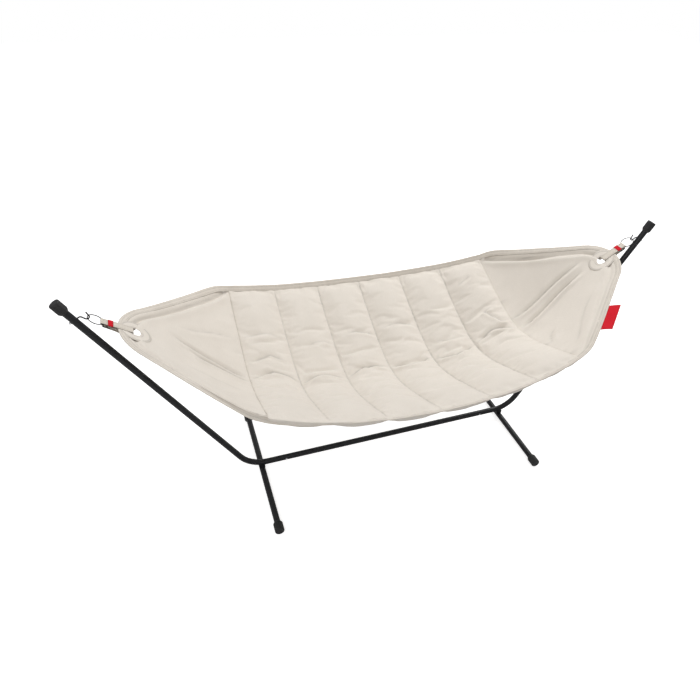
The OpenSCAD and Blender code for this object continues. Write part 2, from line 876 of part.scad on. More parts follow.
// The hem runs right round the mat: along one side, round a nose and back along the other
hem_half = concat([for (x = all_x) if (x > 1) x], straight_x);
hem_count = len(hem_half);
hem_stations = concat([for (i = [hem_count - 1:-1:0]) -hem_half[i]], [0], hem_half);
hem_angles = concat(nose_turn, [0], [for (i = [len(nose_turn) - 1:-1:0]) -nose_turn[i]]);
function hem_spot(x, y, lift) = [x, y, mat_z(x, y) + lift];
function hem_side(side, inset, lift) = [
    for (i = [0:len(hem_stations) - 1])
        let (x = -side * hem_stations[i])
        hem_spot(x, side * half_width(x, inset), lift)
];
function hem_nose(end, inset, lift) = [
    for (a = hem_angles)
        let (
            turn = inset > 0 && a == 0 ? nose_turn[len(nose_turn) - 1] : a,
            x = end * nose_x(turn, inset),
            y = -end * (nose_r - inset) * sin(a)
        )
        hem_spot(x, y, lift)
];
function hem_loop(inset, lift) = concat(
    hem_side(-1, inset, lift),
    hem_nose(1, inset, lift),
    hem_side(1, inset, lift),
    hem_nose(-1, inset, lift)
);

module edge_hem() {
    inner = hem_w - 0.3;
    loops = [
        hem_loop(0, hem_t / 2),
        hem_loop(0, -hem_t / 2),
        hem_loop(inner, -hem_t / 2),
        hem_loop(inner, hem_t / 2)
    ];
    count = len(loops[0]);
    function at(k, i) = (k % 4) * count + (i % count);
    color(CLOTH)
        polyhedron(
            points = [for (l = loops) each l],
            faces = [for (k = [0:3], i = [0:count - 1]) each [
                [at(k, i), at(k, i + 1), at(k + 1, i + 1)],
                [at(k, i), at(k + 1, i + 1), at(k + 1, i)]
            ]]
        );
}

// A cloth label sewn to the front hem of the right-hand end, which follows the hem's outline
module side_label() {
    x_far = nose[0] - label_in;
    x_near = x_far - label_len * cos(taper_angle) * 0.98;
    lift = label_w * 0.39;
    step = label_w * 0.92;
    start = 0.6;
    stations = 10;
    function edge(x) = [x, -half_width(x, 0), mat_z(x, half_width(x, 0))];
    function edge_out(x) =
        let (run = edge(x + 1) - edge(x - 1))
        unit([run[1], -run[0]]);
    function off(x, d, up) = edge(x) + [edge_out(x)[0] * d, edge_out(x)[1] * d, up];
    xs = [for (i = [0:stations]) x_far + (x_near - x_far) * i / stations];
    color(RED)
        grid_solid(
            [for (x = xs) [off(x, start + step, lift + tag_t), off(x, start, tag_t)]],
            [for (x = xs) [off(x, start + step, lift), off(x, start, 0)]]
        );
}

beam_tube();
left() elbow();  // left_elbow
elbow();  // right_elbow
left() lower_arm();  // left_lower_arm
lower_arm();  // right_lower_arm
left() upper_arm();  // left_upper_arm
upper_arm();  // right_upper_arm
left() cross_leg();  // left_cross_leg
cross_leg();  // right_cross_leg
left() arm_cap();  // left_arm_cap
arm_cap();  // right_arm_cap
left() foot_cap(-1);  // left_front_foot_cap
left() foot_cap(1);  // left_rear_foot_cap
foot_cap(-1);  // right_front_foot_cap
foot_cap(1);  // right_rear_foot_cap
leg_saddles();
leg_bolts();
leg_nuts();
joint_screws();
joint_inserts();
left() hook();  // left_hook
hook();  // right_hook
hook_nuts();
left() ring();  // left_ring
ring();  // right_ring
left() strap();  // left_strap
strap();  // right_strap
left() buckle();  // left_buckle
buckle();  // right_buckle
left() strap_tag();  // left_strap_tag
strap_tag();  // right_strap_tag
bed_cover();
wadding();
left() end_panel();  // left_end_panel
end_panel();  // right_end_panel
edge_hem();
left() hole_patch();  // left_hole_patch
hole_patch();  // right_hole_patch
side_label();
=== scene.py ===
import bpy
import bmesh
import math
import numpy as np
from mathutils import Matrix, Vector, noise


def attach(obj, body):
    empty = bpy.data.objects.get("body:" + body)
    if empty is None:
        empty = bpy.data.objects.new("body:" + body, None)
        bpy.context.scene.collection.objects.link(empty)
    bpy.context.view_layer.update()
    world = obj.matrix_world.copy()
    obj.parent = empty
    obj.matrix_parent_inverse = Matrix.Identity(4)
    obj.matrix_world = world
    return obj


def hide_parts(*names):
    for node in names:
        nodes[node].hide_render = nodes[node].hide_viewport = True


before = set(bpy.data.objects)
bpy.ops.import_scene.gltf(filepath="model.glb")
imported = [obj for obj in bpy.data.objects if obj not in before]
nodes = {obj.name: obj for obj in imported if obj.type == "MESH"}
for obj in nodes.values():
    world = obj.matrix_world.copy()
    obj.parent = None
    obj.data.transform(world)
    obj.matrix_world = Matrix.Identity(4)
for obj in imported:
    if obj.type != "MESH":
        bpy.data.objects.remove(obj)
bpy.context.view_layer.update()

# ---- Camera
# A three-quarter view from the front left, above the mat, through a 31 mm lens.
lens = bpy.data.cameras.new("camera")
lens.lens, lens.sensor_width = 31.18, 36.0
lens.shift_x, lens.shift_y = -0.043, 0.0009
lens.clip_start, lens.clip_end = 0.05, 60
camera = bpy.data.objects.new("camera", lens)
bpy.context.scene.collection.objects.link(camera)
camera.matrix_world = Matrix((
    (0.93833, 0.17242, -0.29970, -1.1316),
    (-0.34320, 0.56955, -0.74688, -2.6204),
    (0.04192, 0.80367, 0.59360, 2.8355),
    (0, 0, 0, 1)))
bpy.context.scene.camera = camera

# ---- Studio
# A pale floor, white surroundings and three large soft lamps.
floor_mesh = bpy.data.meshes.new("floor")
floor_corners = [(-14, -14, -0.001), (14, -14, -0.001), (14, 14, -0.001), (-14, 14, -0.001)]
floor_mesh.from_pydata(floor_corners, [], [(0, 1, 2, 3)])
floor = bpy.data.objects.new("floor", floor_mesh)
bpy.context.scene.collection.objects.link(floor)
pale = bpy.data.materials.new("pale_floor")
pale.use_nodes = True
pale_shader = pale.node_tree.nodes["Principled BSDF"]
pale_shader.inputs["Base Color"].default_value = (0.8, 0.8, 0.8, 1)
pale_shader.inputs["Roughness"].default_value = 0.9
pale_shader.inputs["Emission Color"].default_value = (1, 1, 1, 1)
seen = pale.node_tree.nodes.new("ShaderNodeLightPath")
glow = pale.node_tree.nodes.new("ShaderNodeMath")
glow.operation = "MULTIPLY"
glow.inputs[1].default_value = 0.72
pale.node_tree.links.new(seen.outputs["Is Camera Ray"], glow.inputs[0])
pale.node_tree.links.new(glow.outputs[0], pale_shader.inputs["Emission Strength"])
floor_mesh.materials.append(pale)

world = bpy.data.worlds.new("studio")
world.use_nodes = True
world.node_tree.nodes["Background"].inputs["Color"].default_value = (1, 1, 1, 1)
sky_path = world.node_tree.nodes.new("ShaderNodeLightPath")
sky = world.node_tree.nodes.new("ShaderNodeMapRange")
sky.inputs["To Min"].default_value, sky.inputs["To Max"].default_value = 0.42, 1.0
world.node_tree.links.new(sky_path.outputs["Is Camera Ray"], sky.inputs["Value"])
world.node_tree.links.new(sky.outputs["Result"], world.node_tree.nodes["Background"].inputs["Strength"])
bpy.context.scene.world = world
for name, place, aim, size, power in (
        ("key_lamp", (2.4, 2.2, 4.4), (0, 0, 0.7), 2.6, 141),
        ("fill_lamp", (-2.6, -3.0, 3.4), (0, 0, 0.7), 2.6, 49),
        ("top_lamp", (-0.8, 0.6, 4.6), (0, 0, 0.7), 2.0, 28)):
    lamp = bpy.data.lights.new(name, "AREA")
    lamp.size, lamp.energy = size, power
    lamp_object = bpy.data.objects.new(name, lamp)
    lamp_object.location = place
    lamp_object.rotation_euler = (Vector(aim) - Vector(place)).to_track_quat("-Z", "Y").to_euler()
    bpy.context.scene.collection.objects.link(lamp_object)
bpy.context.scene.view_settings.view_transform = "Standard"


# ---- Powder-coated tubes
# Near-black satin coat with a fine orange-peel skin, used on every tube and on the leg saddles.
def new_material(name, colour, roughness, metallic=0.0):
    material = bpy.data.materials.new(name)
    material.use_nodes = True
    shader = material.node_tree.nodes["Principled BSDF"]
    shader.inputs["Base Color"].default_value = (*colour, 1)
    shader.inputs["Roughness"].default_value = roughness
    shader.inputs["Metallic"].default_value = metallic
    return material, material.node_tree, shader


def grain_group():
    """A node group: 3-D noise in three sizes as a height, and large faint blotches as a mask."""
    group = bpy.data.node_groups.new("skin_grain", "ShaderNodeTree")
    for side, kind, name in (("INPUT", "NodeSocketVector", "Place"), ("INPUT", "NodeSocketFloat", "Fineness"),
                             ("OUTPUT", "NodeSocketFloat", "Height"), ("OUTPUT", "NodeSocketFloat", "Blotches")):
        group.interface.new_socket(name=name, in_out=side, socket_type=kind)
    source = group.nodes.new("NodeGroupInput")
    result = group.nodes.new("NodeGroupOutput")
    fine = group.nodes.new("ShaderNodeTexNoise")
    fine.inputs["Detail"].default_value = 3
    group.links.new(source.outputs["Place"], fine.inputs["Vector"])
    group.links.new(source.outputs["Fineness"], fine.inputs["Scale"])
    broad = group.nodes.new("ShaderNodeTexNoise")
    broad.inputs["Scale"].default_value = 9
    broad.inputs["Detail"].default_value = 4
    group.links.new(source.outputs["Place"], broad.inputs["Vector"])
    group.links.new(fine.outputs["Fac"], result.inputs["Height"])
    group.links.new(broad.outputs["Fac"], result.inputs["Blotches"])
    return group


skin_grain = grain_group()


def grained(name, colour, roughness, fineness, depth, spread=0.08, metallic=0.0):
    """A material whose skin is grained, and whose roughness and colour drift a little over the piece."""
    material, tree, shader = new_material(name, colour, roughness, metallic)
    place = tree.nodes.new("ShaderNodeTexCoord")
    grain = tree.nodes.new("ShaderNodeGroup")
    grain.node_tree = skin_grain
    grain.inputs["Fineness"].default_value = fineness
    tree.links.new(place.outputs["Object"], grain.inputs["Place"])
    bump = tree.nodes.new("ShaderNodeBump")
    bump.inputs["Strength"].default_value = 0.35
    bump.inputs["Distance"].default_value = depth
    tree.links.new(grain.outputs["Height"], bump.inputs["Height"])
    tree.links.new(bump.outputs["Normal"], shader.inputs["Normal"])
    rough = tree.nodes.new("ShaderNodeMapRange")
    rough.inputs["From Min"].default_value, rough.inputs["From Max"].default_value = 0.3, 0.7
    rough.inputs["To Min"].default_value = roughness - spread
    rough.inputs["To Max"].default_value = roughness + spread
    tree.links.new(grain.outputs["Blotches"], rough.inputs["Value"])
    tree.links.new(rough.outputs["Result"], shader.inputs["Roughness"])
    tint = tree.nodes.new("ShaderNodeMix")
    tint.data_type = "RGBA"
    tint.inputs["A"].default_value = (*colour, 1)
    tint.inputs["B"].default_value = (*[min(1, c * 1.35 + 0.004) for c in colour], 1)
    tree.links.new(grain.outputs["Blotches"], tint.inputs["Factor"])
    tree.links.new(tint.outputs["Result"], shader.inputs["Base Color"])
    return material, tree, shader


def dress(node, material):
    """Gives a CAD node's object one material."""
    mesh = nodes[node].data
    mesh.materials.clear()
    mesh.materials.append(material)


powder_coat, _, coat_shader = grained("powder_coat", (0.011, 0.0115, 0.0135), 0.34, 900, 0.0006)
coat_shader.inputs["Specular IOR Level"].default_value = 0.3
for tube in ("beam_tube", "left_elbow", "right_elbow", "left_lower_arm", "right_lower_arm", "left_upper_arm",
             "right_upper_arm", "left_cross_leg", "right_cross_leg", "leg_saddles"):
    dress(tube, powder_coat)

# ---- Rubber caps
# Moulded black rubber on the arm ends and the feet, matt, with a dusty bloom in its grain.
cap_rubber, _, rubber_shader = grained("cap_rubber", (0.012, 0.012, 0.013), 0.56, 1400, 0.0008, 0.1)
rubber_shader.inputs["Specular IOR Level"].default_value = 0.45
for cap in ("left_arm_cap", "right_arm_cap", "left_front_foot_cap", "left_rear_foot_cap", "right_front_foot_cap",
            "right_rear_foot_cap"):
    dress(cap, cap_rubber)

# ---- Screws, inserts, bolts and nuts
# Zinc-plated steel with a fine brushed grain.
zinc = grained("zinc_plate", (0.50, 0.50, 0.51), 0.3, 2200, 0.0003, 0.07, 1.0)[0]
for fixing in ("joint_screws", "joint_inserts", "leg_bolts", "leg_nuts", "hook_nuts"):
    dress(fixing, zinc)

# ---- Hooks
# Bent rod with a thin black coat, a little shinier than the coat on the tubes.
hook_coat = grained("hook_coat", (0.012, 0.012, 0.014), 0.3, 1500, 0.0004, 0.06)[0]
for hook in ("left_hook", "right_hook"):
    dress(hook, hook_coat)

# ---- Rings
# Chrome-plated wire, with a faint haze in its shine, and painted shade that darkens its colour towards the edges
# where it turns away.
ring_chrome, chrome_tree, chrome_shader = grained(
    "ring_chrome", (0.72, 0.73, 0.75), 0.12, 2500, 0.0002, 0.05, 1.0)
facing = chrome_tree.nodes.new("ShaderNodeLayerWeight")
facing.inputs["Blend"].default_value = 0.45
# Painted shade: the base colour darkens as the wire turns away from view.
rim = chrome_tree.nodes.new("ShaderNodeMix")
rim.data_type = "RGBA"
rim.inputs["A"].default_value = (0.13, 0.13, 0.135, 1)
rim.inputs["B"].default_value = (0.03, 0.028, 0.028, 1)
chrome_tree.links.new(facing.outputs["Facing"], rim.inputs["Factor"])
chrome_tree.links.new(rim.outputs["Result"], chrome_shader.inputs["Base Color"])
for ring in ("left_ring", "right_ring"):
    dress(ring, ring_chrome)

# ---- The mat's cloth
# Light beige plain weave. Its UV is the flat cloth in metres, so that every piece of the mat has the same
# thread. The point attribute fold darkens it in seams, creases and stitch rows: painted shade.
thread = 0.0011


def weave_group():
    """A node group: a plain weave's thread heights, and a shade that drifts from thread to thread."""
    group = bpy.data.node_groups.new("plain_weave", "ShaderNodeTree")
    for side, kind, name in (("INPUT", "NodeSocketVector", "Flat place"),
                             ("INPUT", "NodeSocketFloat", "Threads a metre"),
                             ("OUTPUT", "NodeSocketFloat", "Height"), ("OUTPUT", "NodeSocketFloat", "Shade")):
        group.interface.new_socket(name=name, in_out=side, socket_type=kind)
    source = group.nodes.new("NodeGroupInput")
    result = group.nodes.new("NodeGroupOutput")
    scale = group.nodes.new("ShaderNodeVectorMath")
    scale.operation = "SCALE"
    group.links.new(source.outputs["Flat place"], scale.inputs[0])
    group.links.new(source.outputs["Threads a metre"], scale.inputs["Scale"])
    split = group.nodes.new("ShaderNodeSeparateXYZ")
    group.links.new(scale.outputs[0], split.inputs[0])

    def maths(operation, a, b=None):
        step = group.nodes.new("ShaderNodeMath")
        step.operation = operation
        for k, value in enumerate((a, b)):
            if value is None:
                continue
            if isinstance(value, (int, float)):
                step.inputs[k].default_value = value
            else:
                group.links.new(value, step.inputs[k])
        return step.outputs[0]

    x, y = split.outputs["X"], split.outputs["Y"]
    warp = maths("ABSOLUTE", maths("SINE", maths("MULTIPLY", x, math.pi)))
    weft = maths("ABSOLUTE", maths("SINE", maths("MULTIPLY", y, math.pi)))
    along_x = maths("SINE", maths("MULTIPLY", x, math.pi))
    along_y = maths("SINE", maths("MULTIPLY", y, math.pi))
    over = maths("MULTIPLY", along_x, along_y)
    lift = maths("MULTIPLY", maths("ADD", over, 1.0), 0.5)
    first = maths("MULTIPLY", warp, lift)
    second = maths("MULTIPLY", weft, maths("SUBTRACT", 1.0, lift))
    group.links.new(maths("ADD", first, second), result.inputs["Height"])
    slub = group.nodes.new("ShaderNodeTexNoise")
    slub.inputs["Scale"].default_value = 0.35
    slub.inputs["Detail"].default_value = 3
    stretch = group.nodes.new("ShaderNodeVectorMath")
    stretch.operation = "MULTIPLY"
    stretch.inputs[1].default_value = (1.0, 0.12, 1.0)
    group.links.new(scale.outputs[0], stretch.inputs[0])
    group.links.new(stretch.outputs[0], slub.inputs["Vector"])
    group.links.new(slub.outputs["Fac"], result.inputs["Shade"])
    return group


plain_weave = weave_group()


def woven(name, colour, dark, threads, depth, roughness=0.88, sheen=0.25):
    """A woven material: thread bump, slubs, broad unevenness, painted shade in folds and a little fuzz at the
    edge.
    """
    material, tree, shader = new_material(name, colour, roughness)
    flat = tree.nodes.new("ShaderNodeUVMap")
    flat.uv_map = "flat"
    weave = tree.nodes.new("ShaderNodeGroup")
    weave.node_tree = plain_weave
    weave.inputs["Threads a metre"].default_value = threads
    tree.links.new(flat.outputs["UV"], weave.inputs["Flat place"])
    place = tree.nodes.new("ShaderNodeTexCoord")
    grain = tree.nodes.new("ShaderNodeGroup")
    grain.node_tree = skin_grain
    grain.inputs["Fineness"].default_value = 60
    tree.links.new(place.outputs["Object"], grain.inputs["Place"])
    mixed = tree.nodes.new("ShaderNodeMath")
    mixed.operation = "MULTIPLY"
    tree.links.new(weave.outputs["Shade"], mixed.inputs[0])
    tree.links.new(grain.outputs["Blotches"], mixed.inputs[1])
    ramp = tree.nodes.new("ShaderNodeMapRange")
    ramp.inputs["From Min"].default_value, ramp.inputs["From Max"].default_value = 0.1, 0.42
    tree.links.new(mixed.outputs[0], ramp.inputs["Value"])
    tint = tree.nodes.new("ShaderNodeMix")
    tint.data_type = "RGBA"
    tint.inputs["A"].default_value = (*dark, 1)
    tint.inputs["B"].default_value = (*colour, 1)
    tree.links.new(ramp.outputs["Result"], tint.inputs["Factor"])
    # Painted shade: the point attribute fold mixes in a much darker tone in folds, seams and stitch rows; on the
    # red cloth it also draws the woven border.
    shade_and_border_attr = tree.nodes.new("ShaderNodeAttribute")
    shade_and_border_attr.attribute_name = "fold"
    deep = tree.nodes.new("ShaderNodeMix")
    deep.data_type = "RGBA"
    deep.inputs["B"].default_value = (*[c * 0.42 for c in dark], 1)
    tree.links.new(shade_and_border_attr.outputs["Fac"], deep.inputs["Factor"])
    tree.links.new(tint.outputs["Result"], deep.inputs["A"])
    tree.links.new(deep.outputs["Result"], shader.inputs["Base Color"])
    bump = tree.nodes.new("ShaderNodeBump")
    bump.inputs["Strength"].default_value = 0.5
    bump.inputs["Distance"].default_value = depth
    tree.links.new(weave.outputs["Height"], bump.inputs["Height"])
    tree.links.new(bump.outputs["Normal"], shader.inputs["Normal"])
    shader.inputs["Sheen Weight"].default_value = sheen
    shader.inputs["Sheen Roughness"].default_value = 0.5
    shader.inputs["Specular IOR Level"].default_value = 0.2
    return material, tree, shader


mat_cloth = woven("mat_cloth", (0.745, 0.690, 0.620), (0.700, 0.645, 0.575), 1 / thread, 0.0004)[0]

# ---- The mat's hanging shape
# The surface halfway through the mat: a trough between the two nose points, in metres.
bed_half, mid_half_w, waist = 0.840, 0.677, 0.076
taper, nose_r, ease = math.radians(43.2), 0.270, 0.015
nose_x, nose_z, pull_slope = 1.41665, 1.18150, math.radians(33)
nose_c = nose_x - nose_r
valley_mid, valley_end, side_mid, side_end = 0.593, 0.737, 0.850, 0.948
panels = 6
panel_len = 2 * bed_half / panels
hem_w = 0.030


def rise(u):
    return 0.75 * u ** 2 + 0.25 * u ** 4


def ease_in(u, z0, m0, z1, m1):
    run = nose_x - bed_half
    return ((1 + 2 * u) * (1 - u) ** 2 * z0 + u * (1 - u) ** 2 * run * m0
            + u * u * (3 - 2 * u) * z1 + u * u * (u - 1) * run * m1)


def valley(x):
    a = np.abs(x)
    end = np.clip((a - bed_half) / (nose_x - bed_half), 0, 1)
    return np.where(a < bed_half, valley_mid + (valley_end - valley_mid) * rise(a / bed_half),
                    ease_in(end, valley_end, 0.45, nose_z, math.tan(pull_slope)))


def side_height(x):
    a = np.abs(x)
    end = np.clip((a - bed_half) / (nose_x - bed_half), 0, 1)
    level = np.where(a < bed_half, side_mid + (side_end - side_mid) * rise(a / bed_half),
                     ease_in(end, side_end, 0.42, nose_z, 0.5))
    return level - 0.015 * np.clip(x / bed_half, -1, 1) * (1 - end) ** 2


def half_width(x, inset=0.0):
    a = np.abs(x)
    bed = mid_half_w - waist * (a / bed_half) ** 2 - inset
    straight = (nose_r - inset - (a - nose_c) * math.sin(taper)) / math.cos(taper)
    soft = (bed + straight) / 2 - np.sqrt(((bed - straight) / 2) ** 2 + ease ** 2)
    arc = np.sqrt(np.maximum(0, (nose_r - inset) ** 2 - (a - nose_c) ** 2))
    return np.where(a - nose_c > (nose_r - inset) * math.sin(taper), arc, soft)


def climb(t):
    v = 0.35
    return (np.sqrt(t * t + v * v) - v) / (math.sqrt(1 + v * v) - v)


def mat_z(x, y):
    share = np.minimum(1, np.abs(y) / np.maximum(0.001, half_width(x)))
    return valley(x) + (side_height(x) - valley(x)) * climb(share)


def mat_normal(x, y, step=0.002):
    dx = (mat_z(x + step, y) - mat_z(x - step, y)) / (2 * step)
    dy = (mat_z(x, y + step) - mat_z(x, y - step)) / (2 * step)
    n = np.stack([-dx, -dy, np.ones_like(dx)], -1)
    return n / np.linalg.norm(n, axis=-1, keepdims=True)


def smooth_noise(points, size, seed):
    """Smooth noise from -1 to 1 at each point, with features of about that size."""
    off = Vector((seed * 7.3, seed * 3.1, seed * 1.7))
    values = [noise.noise(Vector(p) / size + off) for p in points.reshape(-1, 3)]
    return np.array(values).reshape(points.shape[:-1])


def link(name, verts, faces, material, uv=None, smooth=True):
    """A new mesh object from points and faces, with the flat cloth's place of each point as its UV."""
    mesh = bpy.data.meshes.new(name)
    mesh.from_pydata([tuple(map(float, v)) for v in verts], [], faces)
    mesh.materials.append(material)
    if uv is not None:
        layer = mesh.uv_layers.new(name="flat")
        index = np.zeros(len(mesh.loops), np.int32)
        mesh.loops.foreach_get("vertex_index", index)
        layer.data.foreach_set("uv", np.asarray(uv, np.float32)[index].ravel())
    mesh.polygons.foreach_set("use_smooth", [smooth] * len(mesh.polygons))
    mesh.update()
    thing = bpy.data.objects.new(name, mesh)
    bpy.context.scene.collection.objects.link(thing)
    return thing


def face_outwards(thing):
    """Turns every face of a closed mesh outwards."""
    bm = bmesh.new()
    bm.from_mesh(thing.data)
    bmesh.ops.recalc_face_normals(bm, faces=bm.faces)
    bm.to_mesh(thing.data)
    bm.free()


def paint_shade_and_borders(thing, values):
    """Writes how dark each point is painted, from 0 to 1, for the cloth materials: painted shade in folds, seams
    and stitch rows, and woven borders on the red cloth.
    """
    layer = thing.data.attributes.new("fold", "FLOAT", "POINT")
    layer.data.foreach_set("value", np.clip(np.asarray(values, np.float32).ravel(), 0, 1))


def grid_faces(rows, cols, start=0, flip=False, loop=False):
    """Quads between neighbouring points of a grid stored row by row."""
    faces = []
    for i in range(rows - 1):
        for j in range(cols if loop else cols - 1):
            k = (j + 1) % cols
            row, below_row = start + i * cols, start + (i + 1) * cols
            quad = (row + j, below_row + j, below_row + k, row + k)
            faces.append(quad[::-1] if flip else quad)
    return faces


# ---- Padded bed
# Two layers of cloth, sewn together along seven cross seams and filled by pressure. The valley's folds and the
# puckers along the seams are pressed in after the filling, and the shade in them is painted into the cloth's
# colour.
steps, across = 22, 116
part = np.arange(steps) / steps
part = 0.55 * part + 0.45 * (0.5 - 0.5 * np.cos(math.pi * part))
u = np.concatenate([(np.arange(panels)[:, None] + part[None, :]).ravel(), [panels]])
share = np.linspace(-1, 1, across + 1)
bed_x = -bed_half + panel_len * u
inside = np.mod(u, 1.0)
inside[-1] = 0
swell = np.sqrt(np.clip(1 - (2 * inside - 1) ** 2, 0, 1)) ** 0.75
grid_x = np.repeat(bed_x[:, None], across + 1, 1)
grid_y = share[None, :] * half_width(bed_x, hem_w * 0.8)[:, None]
middle = np.stack([grid_x, grid_y, mat_z(grid_x, grid_y)], -1)
up = mat_normal(grid_x, grid_y)
rounding = np.sqrt(np.clip(1 - np.abs(share) ** 6, 0, 1))[None, :]
thick = 0.0015 + 0.018 * swell[:, None] * rounding
wobble = 0.003 * smooth_noise(middle, 0.09, 3) * swell[:, None] * rounding
top = middle + up * (thick + wobble)[..., None]
low_y = share[None, :] * half_width(bed_x, 0.002)[:, None]
below = np.stack([grid_x, low_y, mat_z(grid_x, low_y)], -1)
full = np.clip(1 - np.abs(share) ** 22, 0, 1)[None, :] ** 0.5
lean = np.where(share < 0, 1 - 0.5 * (bed_x[:, None] + bed_half) / (2 * bed_half), 0.6)
lip = 0.016 * lean * np.exp(-((np.abs(share[None, :]) - 0.95) / 0.06) ** 2)
drop = 0.0040 + (0.020 * swell[:, None] + lip * (0.55 + 0.45 * swell[:, None])) * full
under = below - up * (drop * 0.35)[..., None] - np.array([0, 0, 1]) * (drop * 0.65)[..., None]
under = under - up * wobble[..., None]
rows, cols = len(bed_x), across + 1
count = rows * cols
flat_x = np.repeat((u * panel_len * 1.04)[:, None], cols, 1)
girth = np.concatenate([np.zeros((rows, 1)), np.cumsum(np.linalg.norm(np.diff(middle, axis=1), axis=-1), 1)], 1)
bed_uv = np.stack([flat_x, girth], -1).reshape(-1, 2)
bed_faces = grid_faces(rows, cols) + grid_faces(rows, cols, count, flip=True)
for i in range(rows - 1):
    bed_faces.append((i * cols, count + i * cols, count + (i + 1) * cols, (i + 1) * cols))
    a, b = i * cols + cols - 1, (i + 1) * cols + cols - 1
    bed_faces.append((a, b, count + b, count + a))
for j in range(cols - 1):
    bed_faces.append((j, j + 1, count + j + 1, count + j))
    a = (rows - 1) * cols + j
    bed_faces.append((a, count + a, count + a + 1, a + 1))
bed = link("padded_bed", np.concatenate([top.reshape(-1, 3), under.reshape(-1, 3)]), bed_faces, mat_cloth,
           np.concatenate([bed_uv, bed_uv + 3]))
face_outwards(bed)


def held_places():
    """How firmly each point of the bed is held, from 0 to 1: the cross seams and the sides."""
    held = np.zeros((rows, cols))
    held[::steps, :] = 1
    held[:, 0] = held[:, -1] = 1
    return np.concatenate([held.ravel(), held.ravel()])


start = np.concatenate([top.reshape(-1, 3), under.reshape(-1, 3)])
group = bed.vertex_groups.new(name="sewn")
for k, weight in enumerate(held_places()):
    if weight > 0:
        group.add([k], float(weight), "REPLACE")
cloth = bed.modifiers.new("filling", "CLOTH")
cloth.settings.vertex_group_mass = "sewn"
cloth.settings.quality = 6
cloth.settings.mass = 0.25
cloth.settings.tension_stiffness = cloth.settings.compression_stiffness = 30
cloth.settings.shear_stiffness = 12
cloth.settings.bending_stiffness = 0.6
cloth.settings.air_damping = 3
cloth.settings.use_pressure = True
cloth.settings.uniform_pressure_force = 3.0
cloth.settings.shrink_min = -0.020
cloth.settings.effector_weights.gravity = 0
cloth.collision_settings.use_collision = False
cloth.collision_settings.use_self_collision = False
bpy.context.scene.frame_start, bpy.context.scene.frame_end = 1, 26
for k in range(1, 25):
    bpy.context.scene.frame_set(k)
cooked = bed.evaluated_get(bpy.context.evaluated_depsgraph_get())
moved = np.zeros(count * 2 * 3, np.float32)
cooked.data.vertices.foreach_get("co", moved)
bed.modifiers.remove(cloth)
bed.vertex_groups.clear()
bpy.context.scene.frame_set(1)
shift = moved.reshape(-1, 3) - start
size = np.linalg.norm(shift, axis=1, keepdims=True)
furthest = 0.022
shift *= np.minimum(1, furthest / np.maximum(size, 1e-9))
placed = start + shift
bed.data.vertices.foreach_set("co", placed.astype(np.float32).ravel())
bed.data.update()


def press(points, folds, how_far):
    """How far folds sink each point, and how deep in a fold it lies, for painted shade. folds: path, depth and
    half-width.
    """
    x, y = points[:, 0], points[:, 1]
    drop, shade = np.zeros(len(points)), np.zeros(len(points))
    for path, depth, width in folds:
        path = np.array(path, float)
        best, where, side = np.full(len(points), 9.0), np.zeros(len(points)), np.ones(len(points))
        total = np.sum(np.hypot(*np.diff(path, axis=0).T))
        gone = 0.0
        for a, b in zip(path[:-1], path[1:]):
            run = b - a
            length = np.hypot(*run)
            s = np.clip(((x - a[0]) * run[0] + (y - a[1]) * run[1]) / length ** 2, 0, 1)
            gap = np.hypot(x - a[0] - s * run[0], y - a[1] - s * run[1])
            closer = gap < best
            cross = run[0] * (y - a[1]) - run[1] * (x - a[0])
            best, where = np.where(closer, gap, best), np.where(closer, (gone + s * length) / total, where)
            side = np.where(closer, np.sign(cross) * math.copysign(1, run[0]), side)
            gone += length
        fade = np.clip(np.minimum(where, 1 - where) / 0.22, 0.1, 1)
        reach = np.where(side > 0, 1.5 * width, 0.62 * width)
        bulge = np.exp(-((best - 1.9 * width) / (1.0 * width)) ** 2) * np.where(side > 0, 0.15, 0.55)
        drop += depth * fade * (np.exp(-best / reach) - bulge)
        shade += fade * min(1, depth / 0.016) * np.exp(-best / how_far)
    return drop, shade


bed_folds = [
    ([(-0.84, -0.03), (-0.70, 0.03), (-0.61, 0.0), (-0.56, -0.05)], 0.017, 0.016),
    ([(-0.79, 0.11), (-0.69, 0.15), (-0.61, 0.12)], 0.010, 0.014),
    ([(-0.82, 0.27), (-0.67, 0.29), (-0.58, 0.28)], 0.005, 0.014),
    ([(-0.56, -0.04), (-0.44, 0.0), (-0.29, -0.02)], 0.017, 0.016),
    ([(-0.46, 0.22), (-0.35, 0.25), (-0.28, 0.24)], 0.005, 0.014),
    ([(-0.28, -0.02), (-0.17, 0.04), (-0.01, 0.03)], 0.016, 0.016),
    ([(-0.20, 0.28), (-0.13, 0.29), (-0.01, 0.27)], 0.009, 0.013),
    ([(0.0, 0.02), (0.12, -0.02), (0.27, 0.02)], 0.015, 0.016),
    ([(0.04, 0.29), (0.16, 0.30), (0.27, 0.28)], 0.007, 0.014),
    ([(0.28, 0.0), (0.40, -0.05), (0.55, 0.01)], 0.016, 0.016),
    ([(0.33, 0.12), (0.44, 0.09), (0.55, 0.10)], 0.006, 0.014),
    ([(0.57, 0.01), (0.68, 0.05), (0.76, 0.04), (0.83, -0.01)], 0.018, 0.016),
    ([(0.76, 0.21), (0.70, 0.19), (0.77, 0.09), (0.83, 0.08)], 0.010, 0.013),
    ([(0.61, 0.43), (0.72, 0.46)], 0.006, 0.014)]
finer = bed.modifiers.new("finer", "SUBSURF")
finer.levels = finer.render_levels = 1
refined = bpy.data.meshes.new_from_object(bed.evaluated_get(bpy.context.evaluated_depsgraph_get()))
bed.modifiers.remove(finer)
bed.data = refined
spots = np.zeros(len(refined.vertices) * 3, np.float32)
facing_up = np.zeros(len(refined.vertices) * 3, np.float32)
refined.vertices.foreach_get("co", spots)
